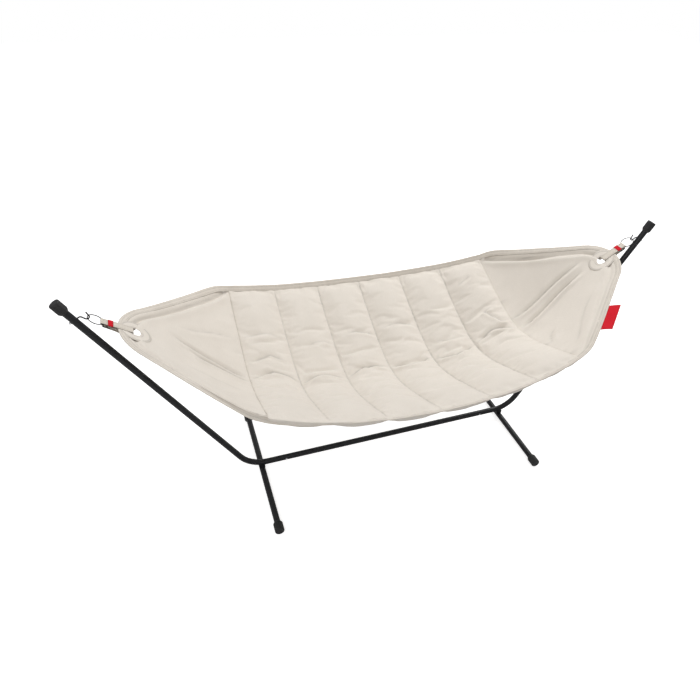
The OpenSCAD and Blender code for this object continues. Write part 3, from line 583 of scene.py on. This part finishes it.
refined.vertex_normals.foreach_get("vector", facing_up)
spots, facing_up = spots.reshape(-1, 3).astype(float), facing_up.reshape(-1, 3).astype(float)
where = (spots[:, 0] + bed_half) / panel_len
to_seam = np.abs(where - np.round(where)) * panel_len
width_share = np.abs(spots[:, 1]) / half_width(spots[:, 0], hem_w * 0.8)
upper = np.clip((facing_up[:, 2] - 0.15) / 0.25, 0, 1) * np.clip((1 - width_share) / 0.06, 0, 1)
sunk, fold_shade = press(spots, bed_folds, 0.0045)
sunk = sunk * upper * np.clip(to_seam / 0.012, 0.25, 1)
ripple = smooth_noise(np.stack([spots[:, 0] * 0.22, spots[:, 1], spots[:, 1] * 0], -1), 0.020, 21)
broad = smooth_noise(spots * (1.0, 0.6, 0), 0.075, 23)
ripple = ripple * 0.0042 * np.exp(-to_seam / 0.022) * np.clip(to_seam / 0.005, 0, 1)
ripple = ripple * (0.6 + 0.8 * np.abs(broad))
sunk = sunk - upper * (ripple + 0.0028 * broad * np.clip(to_seam / 0.03, 0, 1))
sunk = sunk + 0.0022 * np.exp(-to_seam / 0.0035) * upper
spots = spots - np.array([0, 0, 1]) * sunk[:, None]
refined.vertices.foreach_set("co", spots.astype(np.float32).ravel())
refined.update()
# Painted shade: dark lines along the cross seams and in the puckers beside them, added to the shade of the
# pressed folds.
seam_shade = 0.62 * np.exp(-(to_seam / 0.0036) ** 2) * (0.65 + 0.5 * smooth_noise(spots, 0.03, 31))
stretched_spots = np.stack([spots[:, 0] * 0.2, spots[:, 1], spots[:, 1] * 0], -1)
pucker_shade = np.clip(np.abs(smooth_noise(stretched_spots, 0.014, 33)) - 0.42, 0, 1)
seam_shade = seam_shade + 1.3 * pucker_shade * np.exp(-to_seam / 0.010)
paint_shade_and_borders(bed, (0.75 * fold_shade + seam_shade) * upper)
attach(bed, "hammock")
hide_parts("bed_cover", "wadding")

# ---- Tapered ends
# Two layers of unpadded cloth, pulled taut from the strap's hole to the first seam and to the sides. A roll
# runs inside the edge, and a few long creases fan out from the hole. The shade in the roll's groove, the creases
# and the ripples by the seam is painted into the cloth's colour.
hole_place = np.array([1.34536, 0.0, 1.13521])
pull = np.array([-math.cos(pull_slope), 0, -math.sin(pull_slope)])
hole_r = 0.026


def edge_gap(x, y):
    """How far a point of a tapered end lies inside the mat's outline."""
    a, b = np.abs(x) - nose_c, np.abs(y)
    straight = nose_r - (a * math.sin(taper) + b * math.cos(taper))
    arc = nose_r - np.sqrt(a * a + b * b)
    return np.where(a * math.cos(taper) > b * math.sin(taper), arc, straight)


def end_sheet(name, side, creases, seed):
    """A tapered end as a doubled sheet with its strap hole. creases: start, end, depth and half-width."""
    inset = hem_w * 0.75
    last = nose_c + (nose_r - inset) * math.cos(0.10)
    tuck = 0.007
    x0 = bed_half - tuck
    turn = 0.5 - 0.5 * np.cos(np.linspace(0, math.pi, 54))
    xs = x0 + (last - x0) * (0.35 * turn + 0.65 * np.sin(np.linspace(0, math.pi / 2, 54)))
    spread = np.linspace(-1, 1, 113)
    x = np.repeat(xs[:, None], len(spread), 1)
    y = spread[None, :] * half_width(xs, inset)[:, None]
    z = mat_z(x * side, y)
    gap = edge_gap(x, y)
    # shade: painted shade in the creases, in the groove of the roll and in the ripples by the first seam.
    shade = np.zeros(x.shape)
    along = x - x0
    points = np.stack([x * side, y, z], -1)
    drift = smooth_noise(points, 0.22, seed)
    fade = np.clip(along / 0.05, 0, 1) * np.clip((gap - 0.02) / 0.03, 0, 1)
    roll = np.where(y > 0, 1.0, 0.45) * (1 + 0.35 * drift)
    z = z - 0.020 * roll * np.exp(-((gap - 0.052 - 0.008 * drift) / 0.013) ** 2) * fade
    z = z + 0.009 * roll * np.exp(-((gap - 0.082) / 0.017) ** 2) * fade
    for (ax, ay), (bx, by), depth, width in creases:
        run = np.array([bx - ax, by - ay])
        length = np.linalg.norm(run)
        run = run / length
        s = (x - ax) * run[0] + (y - ay) * run[1]
        d = -(x - ax) * run[1] + (y - ay) * run[0] + 0.010 * np.sin(s / length * 5.5 + seed)
        taper_off = np.clip(s / (0.25 * length), 0, 1) * np.clip((length - s) / (0.18 * length), 0, 1)
        reach = np.where(d * math.copysign(1, run[0]) > 0, 1.6 * width, 0.6 * width)
        near_side = d * math.copysign(1, run[0]) < 0
        bulge = np.exp(-((np.abs(d) - 1.9 * width) / width) ** 2) * np.where(near_side, 0.5, 0.12)
        z = z - depth * taper_off * (np.exp(-np.abs(d) / reach) - bulge)
        shade += 0.85 * min(1, depth / 0.016) * taper_off * np.exp(-np.abs(d) / 0.0045)
    ripple = smooth_noise(np.stack([x * 0.35, y, z * 0], -1), 0.035, seed + 5)
    z = z + 0.0045 * ripple * np.exp(-along / 0.06) * np.clip(along / 0.012, 0, 1)
    shade += 0.5 * roll * np.exp(-((gap - 0.045) / 0.005) ** 2) * fade * (0.6 + 0.6 * drift)
    shade += 0.8 * np.clip(np.abs(ripple) - 0.35, 0, 1) * np.exp(-along / 0.025)
    z = z + 0.003 * smooth_noise(points, 0.13, seed + 9) * fade
    points[..., 2] = z - 0.0030 * np.exp(-along / 0.010)
    n_rows, n_cols = points.shape[:2]
    flat = np.stack([x * 1.1, y * 1.05], -1).reshape(-1, 2)
    faces = grid_faces(n_rows, n_cols, flip=side < 0)
    # the strap's hole: drop the faces inside it and draw its rim onto the circle
    rel = points.reshape(-1, 3) - hole_place * (side, 1, 1)
    s = rel @ (pull * (side, 1, 1))
    r = np.hypot(s, rel[:, 1])
    kept = [f for f in faces if np.mean([r[k] for k in f]) > hole_r * 0.93
            or abs(np.mean([rel[k][2] for k in f])) > 0.2]
    used = np.zeros(len(r), int)
    for f in faces:
        used[list(f)] += 1
    after = np.zeros(len(r), int)
    for f in kept:
        after[list(f)] += 1
    rim = np.where((after > 0) & (after < used) & (r < hole_r * 2))[0]
    flat_points = points.reshape(-1, 3)
    for k in rim:
        flat_points[k] -= (pull * (side, 1, 1)) * s[k] * (1 - hole_r / r[k])
        flat_points[k][1] -= rel[k][1] * (1 - hole_r / r[k])
    sheet = link(name, flat_points, kept, mat_cloth, flat)
    paint_shade_and_borders(sheet, shade)
    bm = bmesh.new()
    bm.from_mesh(sheet.data)
    bmesh.ops.delete(bm, geom=[v for v in bm.verts if not v.link_faces], context="VERTS")
    bm.to_mesh(sheet.data)
    bm.free()
    solid = sheet.modifiers.new("two layers", "SOLIDIFY")
    solid.thickness, solid.offset = 0.003, 0
    fine = sheet.modifiers.new("finer", "SUBSURF")
    fine.levels = fine.render_levels = 1
    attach(sheet, "hammock")
    return sheet


left_creases = [((1.20, 0.13), (0.845, -0.01), 0.026, 0.014), ((1.12, 0.065), (0.845, -0.05), 0.024, 0.013),
                ((1.16, 0.20), (0.87, 0.27), 0.005, 0.014), ((1.15, -0.10), (0.88, -0.20), 0.004, 0.014)]
right_creases = [((1.26, 0.035), (0.845, -0.01), 0.026, 0.014), ((1.28, 0.10), (0.845, 0.09), 0.018, 0.013),
                 ((0.96, -0.20), (0.85, -0.31), 0.005, 0.012), ((1.20, -0.16), (0.90, -0.45), 0.005, 0.016)]
left_end = end_sheet("left_end_cloth", -1, left_creases, 4)
right_end = end_sheet("right_end_cloth", 1, right_creases, 6)
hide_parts("left_end_panel")
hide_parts("right_end_panel")

# ---- Hem
# A folded band of cloth round the whole mat, a little puckered between its two rows of stitches. It stands up
# along the far side of the bed and droops at the near side.
turn = np.linspace(math.pi / 2 - taper, -(math.pi / 2 - taper), 40)
nose_points = np.stack([nose_c + nose_r * np.cos(turn), -nose_r * np.sin(turn)], -1)
last_x = nose_points[-1][0] - 0.010
side_x = np.linspace(-last_x, last_x, 330)
outline = np.concatenate([
    np.stack([side_x, -half_width(side_x)], -1), nose_points,
    np.stack([-side_x, half_width(side_x)], -1), nose_points * (-1, -1)])
loop_gap = np.linalg.norm(np.roll(outline, -1, 0) - outline, axis=1)
ahead = np.roll(outline, -1, 0) - np.roll(outline, 1, 0)
ahead = ahead / np.linalg.norm(ahead, axis=1, keepdims=True)
inward = np.stack([-ahead[:, 1], ahead[:, 0]], -1)
first_row, second_row, hem_reach = 0.0105, 0.0235, 0.031


def on_mat(distance, lift):
    """Points that follow the outline at a distance inside it, and at a height above the mat's middle surface."""
    flat = outline + inward * np.broadcast_to(distance, (len(outline),))[:, None]
    x, y = flat[:, 0], flat[:, 1]
    n = mat_normal(outline[:, 0] + inward[:, 0] * 0.02, outline[:, 1] + inward[:, 1] * 0.02)
    point = np.stack([x, y, mat_z(x, y)], -1)
    stand = np.clip(outline[:, 1] / 0.25, 0, 1) * np.clip((1.05 - np.abs(outline[:, 0])) / 0.25, 0, 1)
    outer = hem_reach - np.broadcast_to(distance, (len(outline),))
    point[:, 2] += 0.55 * outer * stand
    point[:, 1] -= 0.30 * outer * stand
    droop = np.clip(-outline[:, 1] / 0.25, 0, 1) * (0.20 * np.clip((1.1 - np.abs(outline[:, 0])) / 0.3, 0, 1)
                                                    + 1.20 * np.exp(-((outline[:, 0] + 0.86) / 0.30) ** 2))
    point[:, 2] -= outer * droop
    point[:, 1] += 0.25 * outer * droop
    return point + n * np.broadcast_to(lift, (len(outline),))[:, None]


hem_profile = [(0.0, 0.0), (0.0012, 0.0022), (0.004, 0.0034), (0.008, 0.0030), (first_row, 0.0024),
               (0.013, 0.0033), (0.017, 0.0037), (0.021, 0.0032), (second_row, 0.0024), (0.026, 0.0032),
               (0.030, 0.0028), (hem_reach, 0.0012)]
hem_ring = hem_profile + [(d, -h) for d, h in hem_profile[::-1] if h > 0.0005]
outline_3d = np.stack([outline[:, 0], outline[:, 1], mat_z(outline[:, 0], outline[:, 1])], -1)
pucker = smooth_noise(outline_3d, 0.022, 11)
wave = smooth_noise(outline_3d, 0.16, 12)
hem_rows = [
    on_mat(d, h * (1 + 0.35 * pucker) + 0.0022 * wave + 0.0012 * pucker * math.sin(math.pi * d / hem_reach))
    for d, h in hem_ring]
hem_points = np.stack(hem_rows, 1)
hem_s = np.concatenate([[0], np.cumsum(loop_gap)])[:-1]
hem_uv = np.stack([np.repeat(hem_s[:, None], len(hem_ring), 1),
                   np.repeat(np.linspace(0, 0.066, len(hem_ring))[None, :], len(hem_s), 0)], -1).reshape(-1, 2)
hem_faces = []
for i in range(len(outline)):
    for j in range(len(hem_ring)):
        a, b = i * len(hem_ring), ((i + 1) % len(outline)) * len(hem_ring)
        k = (j + 1) % len(hem_ring)
        hem_faces.append((a + j, b + j, b + k, a + k))
# The hem's cloth is the mat's cloth one step darker: painted shade over the whole band.
hem_cloth_shaded = woven("hem_cloth_shaded", (0.700, 0.645, 0.575), (0.650, 0.595, 0.525), 1 / thread, 0.0004)[0]
hem = link("hem_band", hem_points.reshape(-1, 3), hem_faces, hem_cloth_shaded, hem_uv)
face_outwards(hem)
in_from_edge = np.array([d for d, h in hem_ring])
# Painted shade in the two stitch grooves and along the hem's inner edge at the bed, varying with the pucker.
hem_line_shade = (0.55 * np.exp(-((in_from_edge - first_row) / 0.0012) ** 2)
             + 0.5 * np.exp(-((in_from_edge - second_row) / 0.0012) ** 2)
             + 0.75 * np.exp(-((in_from_edge - hem_reach) / 0.0015) ** 2))
paint_shade_and_borders(hem, np.repeat(hem_line_shade[None, :], len(hem_s), 0) * (0.8 + 0.35 * pucker[:, None]))
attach(hem, "hammock")
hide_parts("edge_hem")

# ---- Stitches
# One small drawn-out ball of thread, set along the hem's two rows and along the bed's cross seams.
stitch_thread = grained("stitch_thread", (0.66, 0.61, 0.54), 0.6, 3000, 0.0003)[0]


def stitch_group():
    """Geometry Nodes: sets a drawn-out ball of thread every Pitch metres along the lines it's given."""
    group = bpy.data.node_groups.new("stitch_row", "GeometryNodeTree")
    ports = {}
    for side, kind, name in (("INPUT", "NodeSocketGeometry", "Lines"), ("INPUT", "NodeSocketFloat", "Pitch"),
                             ("INPUT", "NodeSocketFloat", "Stitch length"),
                             ("INPUT", "NodeSocketFloat", "Thread radius"),
                             ("INPUT", "NodeSocketMaterial", "Thread"),
                             ("OUTPUT", "NodeSocketGeometry", "Stitches")):
        ports[name] = group.interface.new_socket(name=name, in_out=side, socket_type=kind).identifier
    source, result = group.nodes.new("NodeGroupInput"), group.nodes.new("NodeGroupOutput")
    to_curve = group.nodes.new("GeometryNodeMeshToCurve")
    group.links.new(source.outputs["Lines"], to_curve.inputs["Mesh"])
    points = group.nodes.new("GeometryNodeCurveToPoints")
    points.mode = "LENGTH"
    group.links.new(to_curve.outputs["Curve"], points.inputs["Curve"])
    group.links.new(source.outputs["Pitch"], points.inputs["Length"])
    ball = group.nodes.new("GeometryNodeMeshUVSphere")
    ball.inputs["Segments"].default_value = 6
    ball.inputs["Rings"].default_value = 5
    ball.inputs["Radius"].default_value = 0.5
    size = group.nodes.new("ShaderNodeCombineXYZ")
    wide = group.nodes.new("ShaderNodeMath")
    wide.operation = "MULTIPLY"
    wide.inputs[1].default_value = 2.0
    group.links.new(source.outputs["Thread radius"], wide.inputs[0])
    group.links.new(wide.outputs[0], size.inputs["X"])
    group.links.new(wide.outputs[0], size.inputs["Y"])
    group.links.new(source.outputs["Stitch length"], size.inputs["Z"])
    place = group.nodes.new("GeometryNodeInstanceOnPoints")
    group.links.new(points.outputs["Points"], place.inputs["Points"])
    group.links.new(ball.outputs["Mesh"], place.inputs["Instance"])
    group.links.new(points.outputs["Rotation"], place.inputs["Rotation"])
    group.links.new(size.outputs[0], place.inputs["Scale"])
    real = group.nodes.new("GeometryNodeRealizeInstances")
    group.links.new(place.outputs["Instances"], real.inputs["Geometry"])
    smooth = group.nodes.new("GeometryNodeSetShadeSmooth")
    group.links.new(real.outputs["Geometry"], smooth.inputs["Geometry"])
    paint = group.nodes.new("GeometryNodeSetMaterial")
    group.links.new(smooth.outputs["Geometry"], paint.inputs["Geometry"])
    group.links.new(source.outputs["Thread"], paint.inputs["Material"])
    group.links.new(paint.outputs["Geometry"], result.inputs["Stitches"])
    return group, ports


stitch_row, stitch_ports = stitch_group()


def stitches(name, lines, closed, pitch=0.0072, length=0.0052, radius=0.0006):
    """A finished mesh of the stitches along some lines of points."""
    verts, edges = [], []
    for line in lines:
        first = len(verts)
        verts += [tuple(map(float, p)) for p in line]
        edges += [(first + k, first + k + 1) for k in range(len(line) - 1)]
        if closed:
            edges.append((len(verts) - 1, first))
    mesh = bpy.data.meshes.new(name + "_lines")
    mesh.from_pydata(verts, edges, [])
    carrier = bpy.data.objects.new(name + "_lines", mesh)
    bpy.context.scene.collection.objects.link(carrier)
    rows_maker = carrier.modifiers.new("stitches", "NODES")
    rows_maker.node_group = stitch_row
    rows_maker[stitch_ports["Pitch"]] = pitch
    rows_maker[stitch_ports["Stitch length"]] = length
    rows_maker[stitch_ports["Thread radius"]] = radius
    rows_maker[stitch_ports["Thread"]] = stitch_thread
    bpy.context.view_layer.update()
    baked = bpy.data.meshes.new_from_object(carrier.evaluated_get(bpy.context.evaluated_depsgraph_get()))
    bpy.data.objects.remove(carrier)
    baked.name = name
    made = bpy.data.objects.new(name, baked)
    bpy.context.scene.collection.objects.link(made)
    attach(made, "hammock")
    return made


def hem_row(distance):
    return on_mat(distance, 0.0026 + 0.0022 * wave + 0.0012 * pucker * math.sin(math.pi * distance / hem_reach))


stitches("hem_stitches", [hem_row(first_row), hem_row(second_row)], True)
seam_lines = []
for k in range(panels + 1):
    i = min(k * steps, rows - 1)
    seam_lines.append((middle[i] + up[i] * 0.0022)[2:-2])
stitches("seam_stitches", seam_lines, False)

# ---- Hole patches
# A ring of cloth sewn round each strap hole.
patch_r = 0.076


def patch(name, side):
    radii = np.linspace(hole_r + 0.002, patch_r, 12)
    angles = np.linspace(0, 2 * math.pi, 96, endpoint=False)
    ring = []
    for radius in radii:
        x = hole_place[0] + radius * math.cos(pull_slope) * np.cos(angles)
        y = radius * np.sin(angles)
        crown = 0.0050 if radius < patch_r - 0.004 else 0.0026
        ring.append(np.stack([x * side, y, mat_z(x * side, y) + crown], -1))
    ring = np.stack(ring, 0)
    verts = ring.reshape(-1, 3)
    faces = grid_faces(len(radii), len(angles), flip=side > 0, loop=True)
    piece = link(name, verts, faces, mat_cloth, verts[:, :2])
    solid = piece.modifiers.new("cloth", "SOLIDIFY")
    solid.thickness, solid.offset = 0.0012, 0
    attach(piece, "hammock")
    return piece


left_patch = patch("left_patch", -1)
right_patch = patch("right_patch", 1)
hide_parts("left_hole_patch")
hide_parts("right_hole_patch")
for piece, under_it in ((left_patch, left_end), (right_patch, right_end)):
    flat_at = np.array([v.co[:2] for v in piece.data.vertices])
    middle_x = math.copysign(hole_place[0], flat_at[0, 0])
    rim_gap = np.hypot((flat_at[:, 0] - middle_x) / math.cos(pull_slope), flat_at[:, 1])
    # Painted shade along the patch's two rows of stitches.
    outer_row = 0.55 * np.exp(-((rim_gap - 0.069) / 0.0035) ** 2)
    inner_row = 0.4 * np.exp(-((rim_gap - 0.036) / 0.003) ** 2)
    paint_shade_and_borders(piece, outer_row + inner_row)

# ---- Straps
# Coarse webbing, one loop each: from its tail through the buckle, round the ring, over the nose, down the hole
# and back to the buckle.
webbing = woven("webbing", (0.69, 0.635, 0.56), (0.60, 0.545, 0.47), 520, 0.0007, 0.82, 0.15)[0]
ring_mid = np.array([1.50118, 0, 1.23640])
pull_up = np.array([-math.sin(pull_slope), 0, math.cos(pull_slope)])
web_half, web_t, bar_r = 0.0225, 0.0016, 0.0017
wire_r, wire_gap, ring_r, nose_half_t = 0.0025, 0.0003, 0.0335, 0.0050
web_ply = wire_r + wire_gap + web_t / 2
fold_at = math.sqrt(ring_r ** 2 - (web_half + 0.0005) ** 2) - wire_gap + wire_r
bar_ply = bar_r + 0.0002 + web_t / 2
nose_ply = nose_half_t + 0.0007 + web_t / 2
bar_h = -(nose_ply + bar_ply)
bars = (fold_at + 0.012, fold_at + 0.0225, fold_at + 0.038)
tail_h = bar_h - bar_ply - web_t - 0.0011
hole_s, nose_s = 0.1858, 0.1008
turn_s = hole_s - math.sqrt(hole_r ** 2 - web_half ** 2) + web_t + 0.001


def bend(s, h, r, start, end, n):
    turn = np.radians(np.linspace(start, end, n + 1))
    return [(s + r * math.cos(k), h + r * math.sin(k)) for k in turn]


strap_route = ([(bars[2] + 0.050, tail_h - 0.004), (bars[2] + 0.030, tail_h - 0.0015), (bars[2] - 0.003, tail_h),
                (bars[1] + bar_ply + 0.0034, bar_h - bar_ply - 0.0006)]
               + bend(bars[1], bar_h, bar_ply, 20, 160, 8) + bend(bars[0], bar_h, bar_ply, -40, -140, 6)
               + [(fold_at + 0.002, -web_ply - 0.0012)] + bend(fold_at, 0, web_ply, -90, -270, 14)
               + [(nose_s - 0.040, nose_ply - 0.0018), (nose_s - 0.012, nose_ply - 0.0006), (nose_s, nose_ply)]
               + bend(turn_s - 0.006, nose_ply - 0.006, 0.006, 80, 0, 7)
               + bend(turn_s - 0.006, 0.006 - nose_ply, 0.006, 0, -80, 7)
               + bend(bars[2], bar_h, bar_ply, 90, 270, 8) + [(bars[2] + 0.022, bar_h - bar_ply)])


def strap_band(name, side, node):
    """The band along the route, as a sheet of the webbing's width with a darker line along each edge as painted
    shade, and a fainter darker line on each side between edge and middle.
    """
    line = np.array(strap_route)
    steps_s = np.concatenate([[0], np.cumsum(np.hypot(*np.diff(line, axis=0).T))])
    at = np.unique(np.concatenate([steps_s, np.linspace(0, steps_s[-1], 150)]))
    route = np.stack([np.interp(at, steps_s, line[:, 0]), np.interp(at, steps_s, line[:, 1])], -1)
    across_w = np.array([-1, -0.97, -0.9, -0.7, -0.4, 0, 0.4, 0.7, 0.9, 0.97, 1.0]) * web_half
    rows_w = []
    for s, h in route:
        place = ring_mid + pull * s + pull_up * h
        rows_w.append([(place[0] * side, w, place[2]) for w in across_w])
    verts = np.array(rows_w).reshape(-1, 3)
    uv = np.stack([np.repeat(at[:, None], len(across_w), 1), np.repeat(across_w[None, :], len(at), 0)], -1)
    piece = link(name, verts, grid_faces(len(at), len(across_w), flip=side < 0), webbing, uv.reshape(-1, 2))
    # Painted shade along both edges, and a fainter darker line on each side at 0.7 of the half-width.
    edge_shade_and_lines = 0.5 * (np.abs(across_w) > 0.93 * web_half)
    edge_shade_and_lines = edge_shade_and_lines + 0.35 * (np.abs(np.abs(across_w) - 0.7 * web_half) < 0.001)
    paint_shade_and_borders(piece, np.repeat(edge_shade_and_lines[None, :], len(at), 0) * 0.6)
    solid = piece.modifiers.new("webbing", "SOLIDIFY")
    solid.thickness, solid.offset = web_t * 0.94, 0
    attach(piece, "hammock")
    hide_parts(node)
    return piece


strap_band("left_webbing", -1, "left_strap")
strap_band("right_webbing", 1, "right_strap")

# ---- Buckles
# Black moulded ladder-lock buckles under the straps.
buckle_plastic = grained("buckle_plastic", (0.02, 0.02, 0.022), 0.42, 1800, 0.0003)[0]
for buckle in ("left_buckle", "right_buckle"):
    dress(buckle, buckle_plastic)

# ---- Red tags and the side label
# Plain woven red cloth with a darker woven border: a sleeve on each strap, and a folded label on the near hem.
red_cloth = woven("red_label_cloth", (0.66, 0.006, 0.020), (0.56, 0.004, 0.014), 1600, 0.0003, 0.8, 0)[0]
tag_s, tag_run, tag_t = fold_at + 0.028, 0.024, 0.0012


def sleeve(name, side, node):
    rise_s = math.atan2(nose_ply - 0.001 - web_ply, nose_s - 0.012 - fold_at)
    along_s = pull * math.cos(rise_s) + pull_up * math.sin(rise_s)
    over_s = -pull * math.sin(rise_s) + pull_up * math.cos(rise_s)
    base = ring_mid + pull * fold_at + pull_up * web_ply
    wide, tall = web_half + 0.0010, web_t / 2 + 0.0008
    soft_r = 0.0008
    corner = np.linspace(0, math.pi / 2, 5)
    loop = []
    for cx, cy, k in ((1, 1, 0), (-1, 1, 1), (-1, -1, 2), (1, -1, 3)):
        for t in corner + k * math.pi / 2:
            loop.append((cx * (wide - soft_r) + soft_r * math.cos(t),
                         cy * (tall - soft_r) + soft_r * math.sin(t)))
    verts, uv = [], []
    rows_n = 13
    for i in range(rows_n):
        s = tag_s - fold_at + tag_run * i / (rows_n - 1)
        for w, h in loop:
            q = base + along_s * s + over_s * h
            verts.append((q[0] * side, w, q[2]))
            uv.append((s, w + h))
    piece = link(name, verts, grid_faces(rows_n, len(loop), flip=side < 0, loop=True), red_cloth, uv)
    face_outwards(piece)
    border = [0.55 if i in (0, 2, rows_n - 3, rows_n - 1) else 0.0 for i in range(rows_n)]
    paint_shade_and_borders(piece, np.repeat(np.array(border)[:, None], len(loop), 1))
    solid = piece.modifiers.new("cloth", "SOLIDIFY")
    solid.thickness, solid.offset = tag_t * 0.75, 1
    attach(piece, "hammock")
    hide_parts(node)


sleeve("left_tag", -1, "left_strap_tag")
sleeve("right_tag", 1, "right_strap_tag")
label_run, label_reach = 0.190, 0.062
far_x = nose_x - 0.267
near_x = far_x - label_run * math.cos(taper) * 0.98
out_x, out_y = math.sin(taper), -math.cos(taper)
label_rows, label_cols = 25, 15
label_points, label_uv, label_shade = [], [], []
for i in range(label_rows):
    k = i / (label_rows - 1)
    x = far_x + (near_x - far_x) * k
    edge = np.array([x, -float(half_width(x)), float(mat_z(x, -half_width(x)))])
    for j in range(label_cols):
        q = j / (label_cols - 1)
        reach, lift = 0.0004 + 0.057 * q, 0.0242 * q
        wave = 0.0018 * math.sin(math.pi * q) * math.sin(2.2 * k * math.pi + 0.6) + 0.0012 * q * math.sin(5 * k)
        label_points.append(edge + np.array([out_x * reach, out_y * reach, lift + 0.0006 + wave]))
        label_uv.append((label_run * k, label_reach * q))
        # label_shade: a darker woven border line 6 mm in from the rim, and painted shade in a strip along the
        # edge that meets the hem.
        rim = min(k * label_run, (1 - k) * label_run, (1 - q) * label_reach)
        label_shade.append(0.5 * math.exp(-((rim - 0.006) / 0.0018) ** 2) + 0.35 * (q < 0.06))
label = link("side_label_cloth", label_points, grid_faces(label_rows, label_cols), red_cloth, label_uv)
paint_shade_and_borders(label, label_shade)
folded = label.modifiers.new("folded", "SOLIDIFY")
folded.thickness, folded.offset = 0.0013, 0
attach(label, "hammock")
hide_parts("side_label")
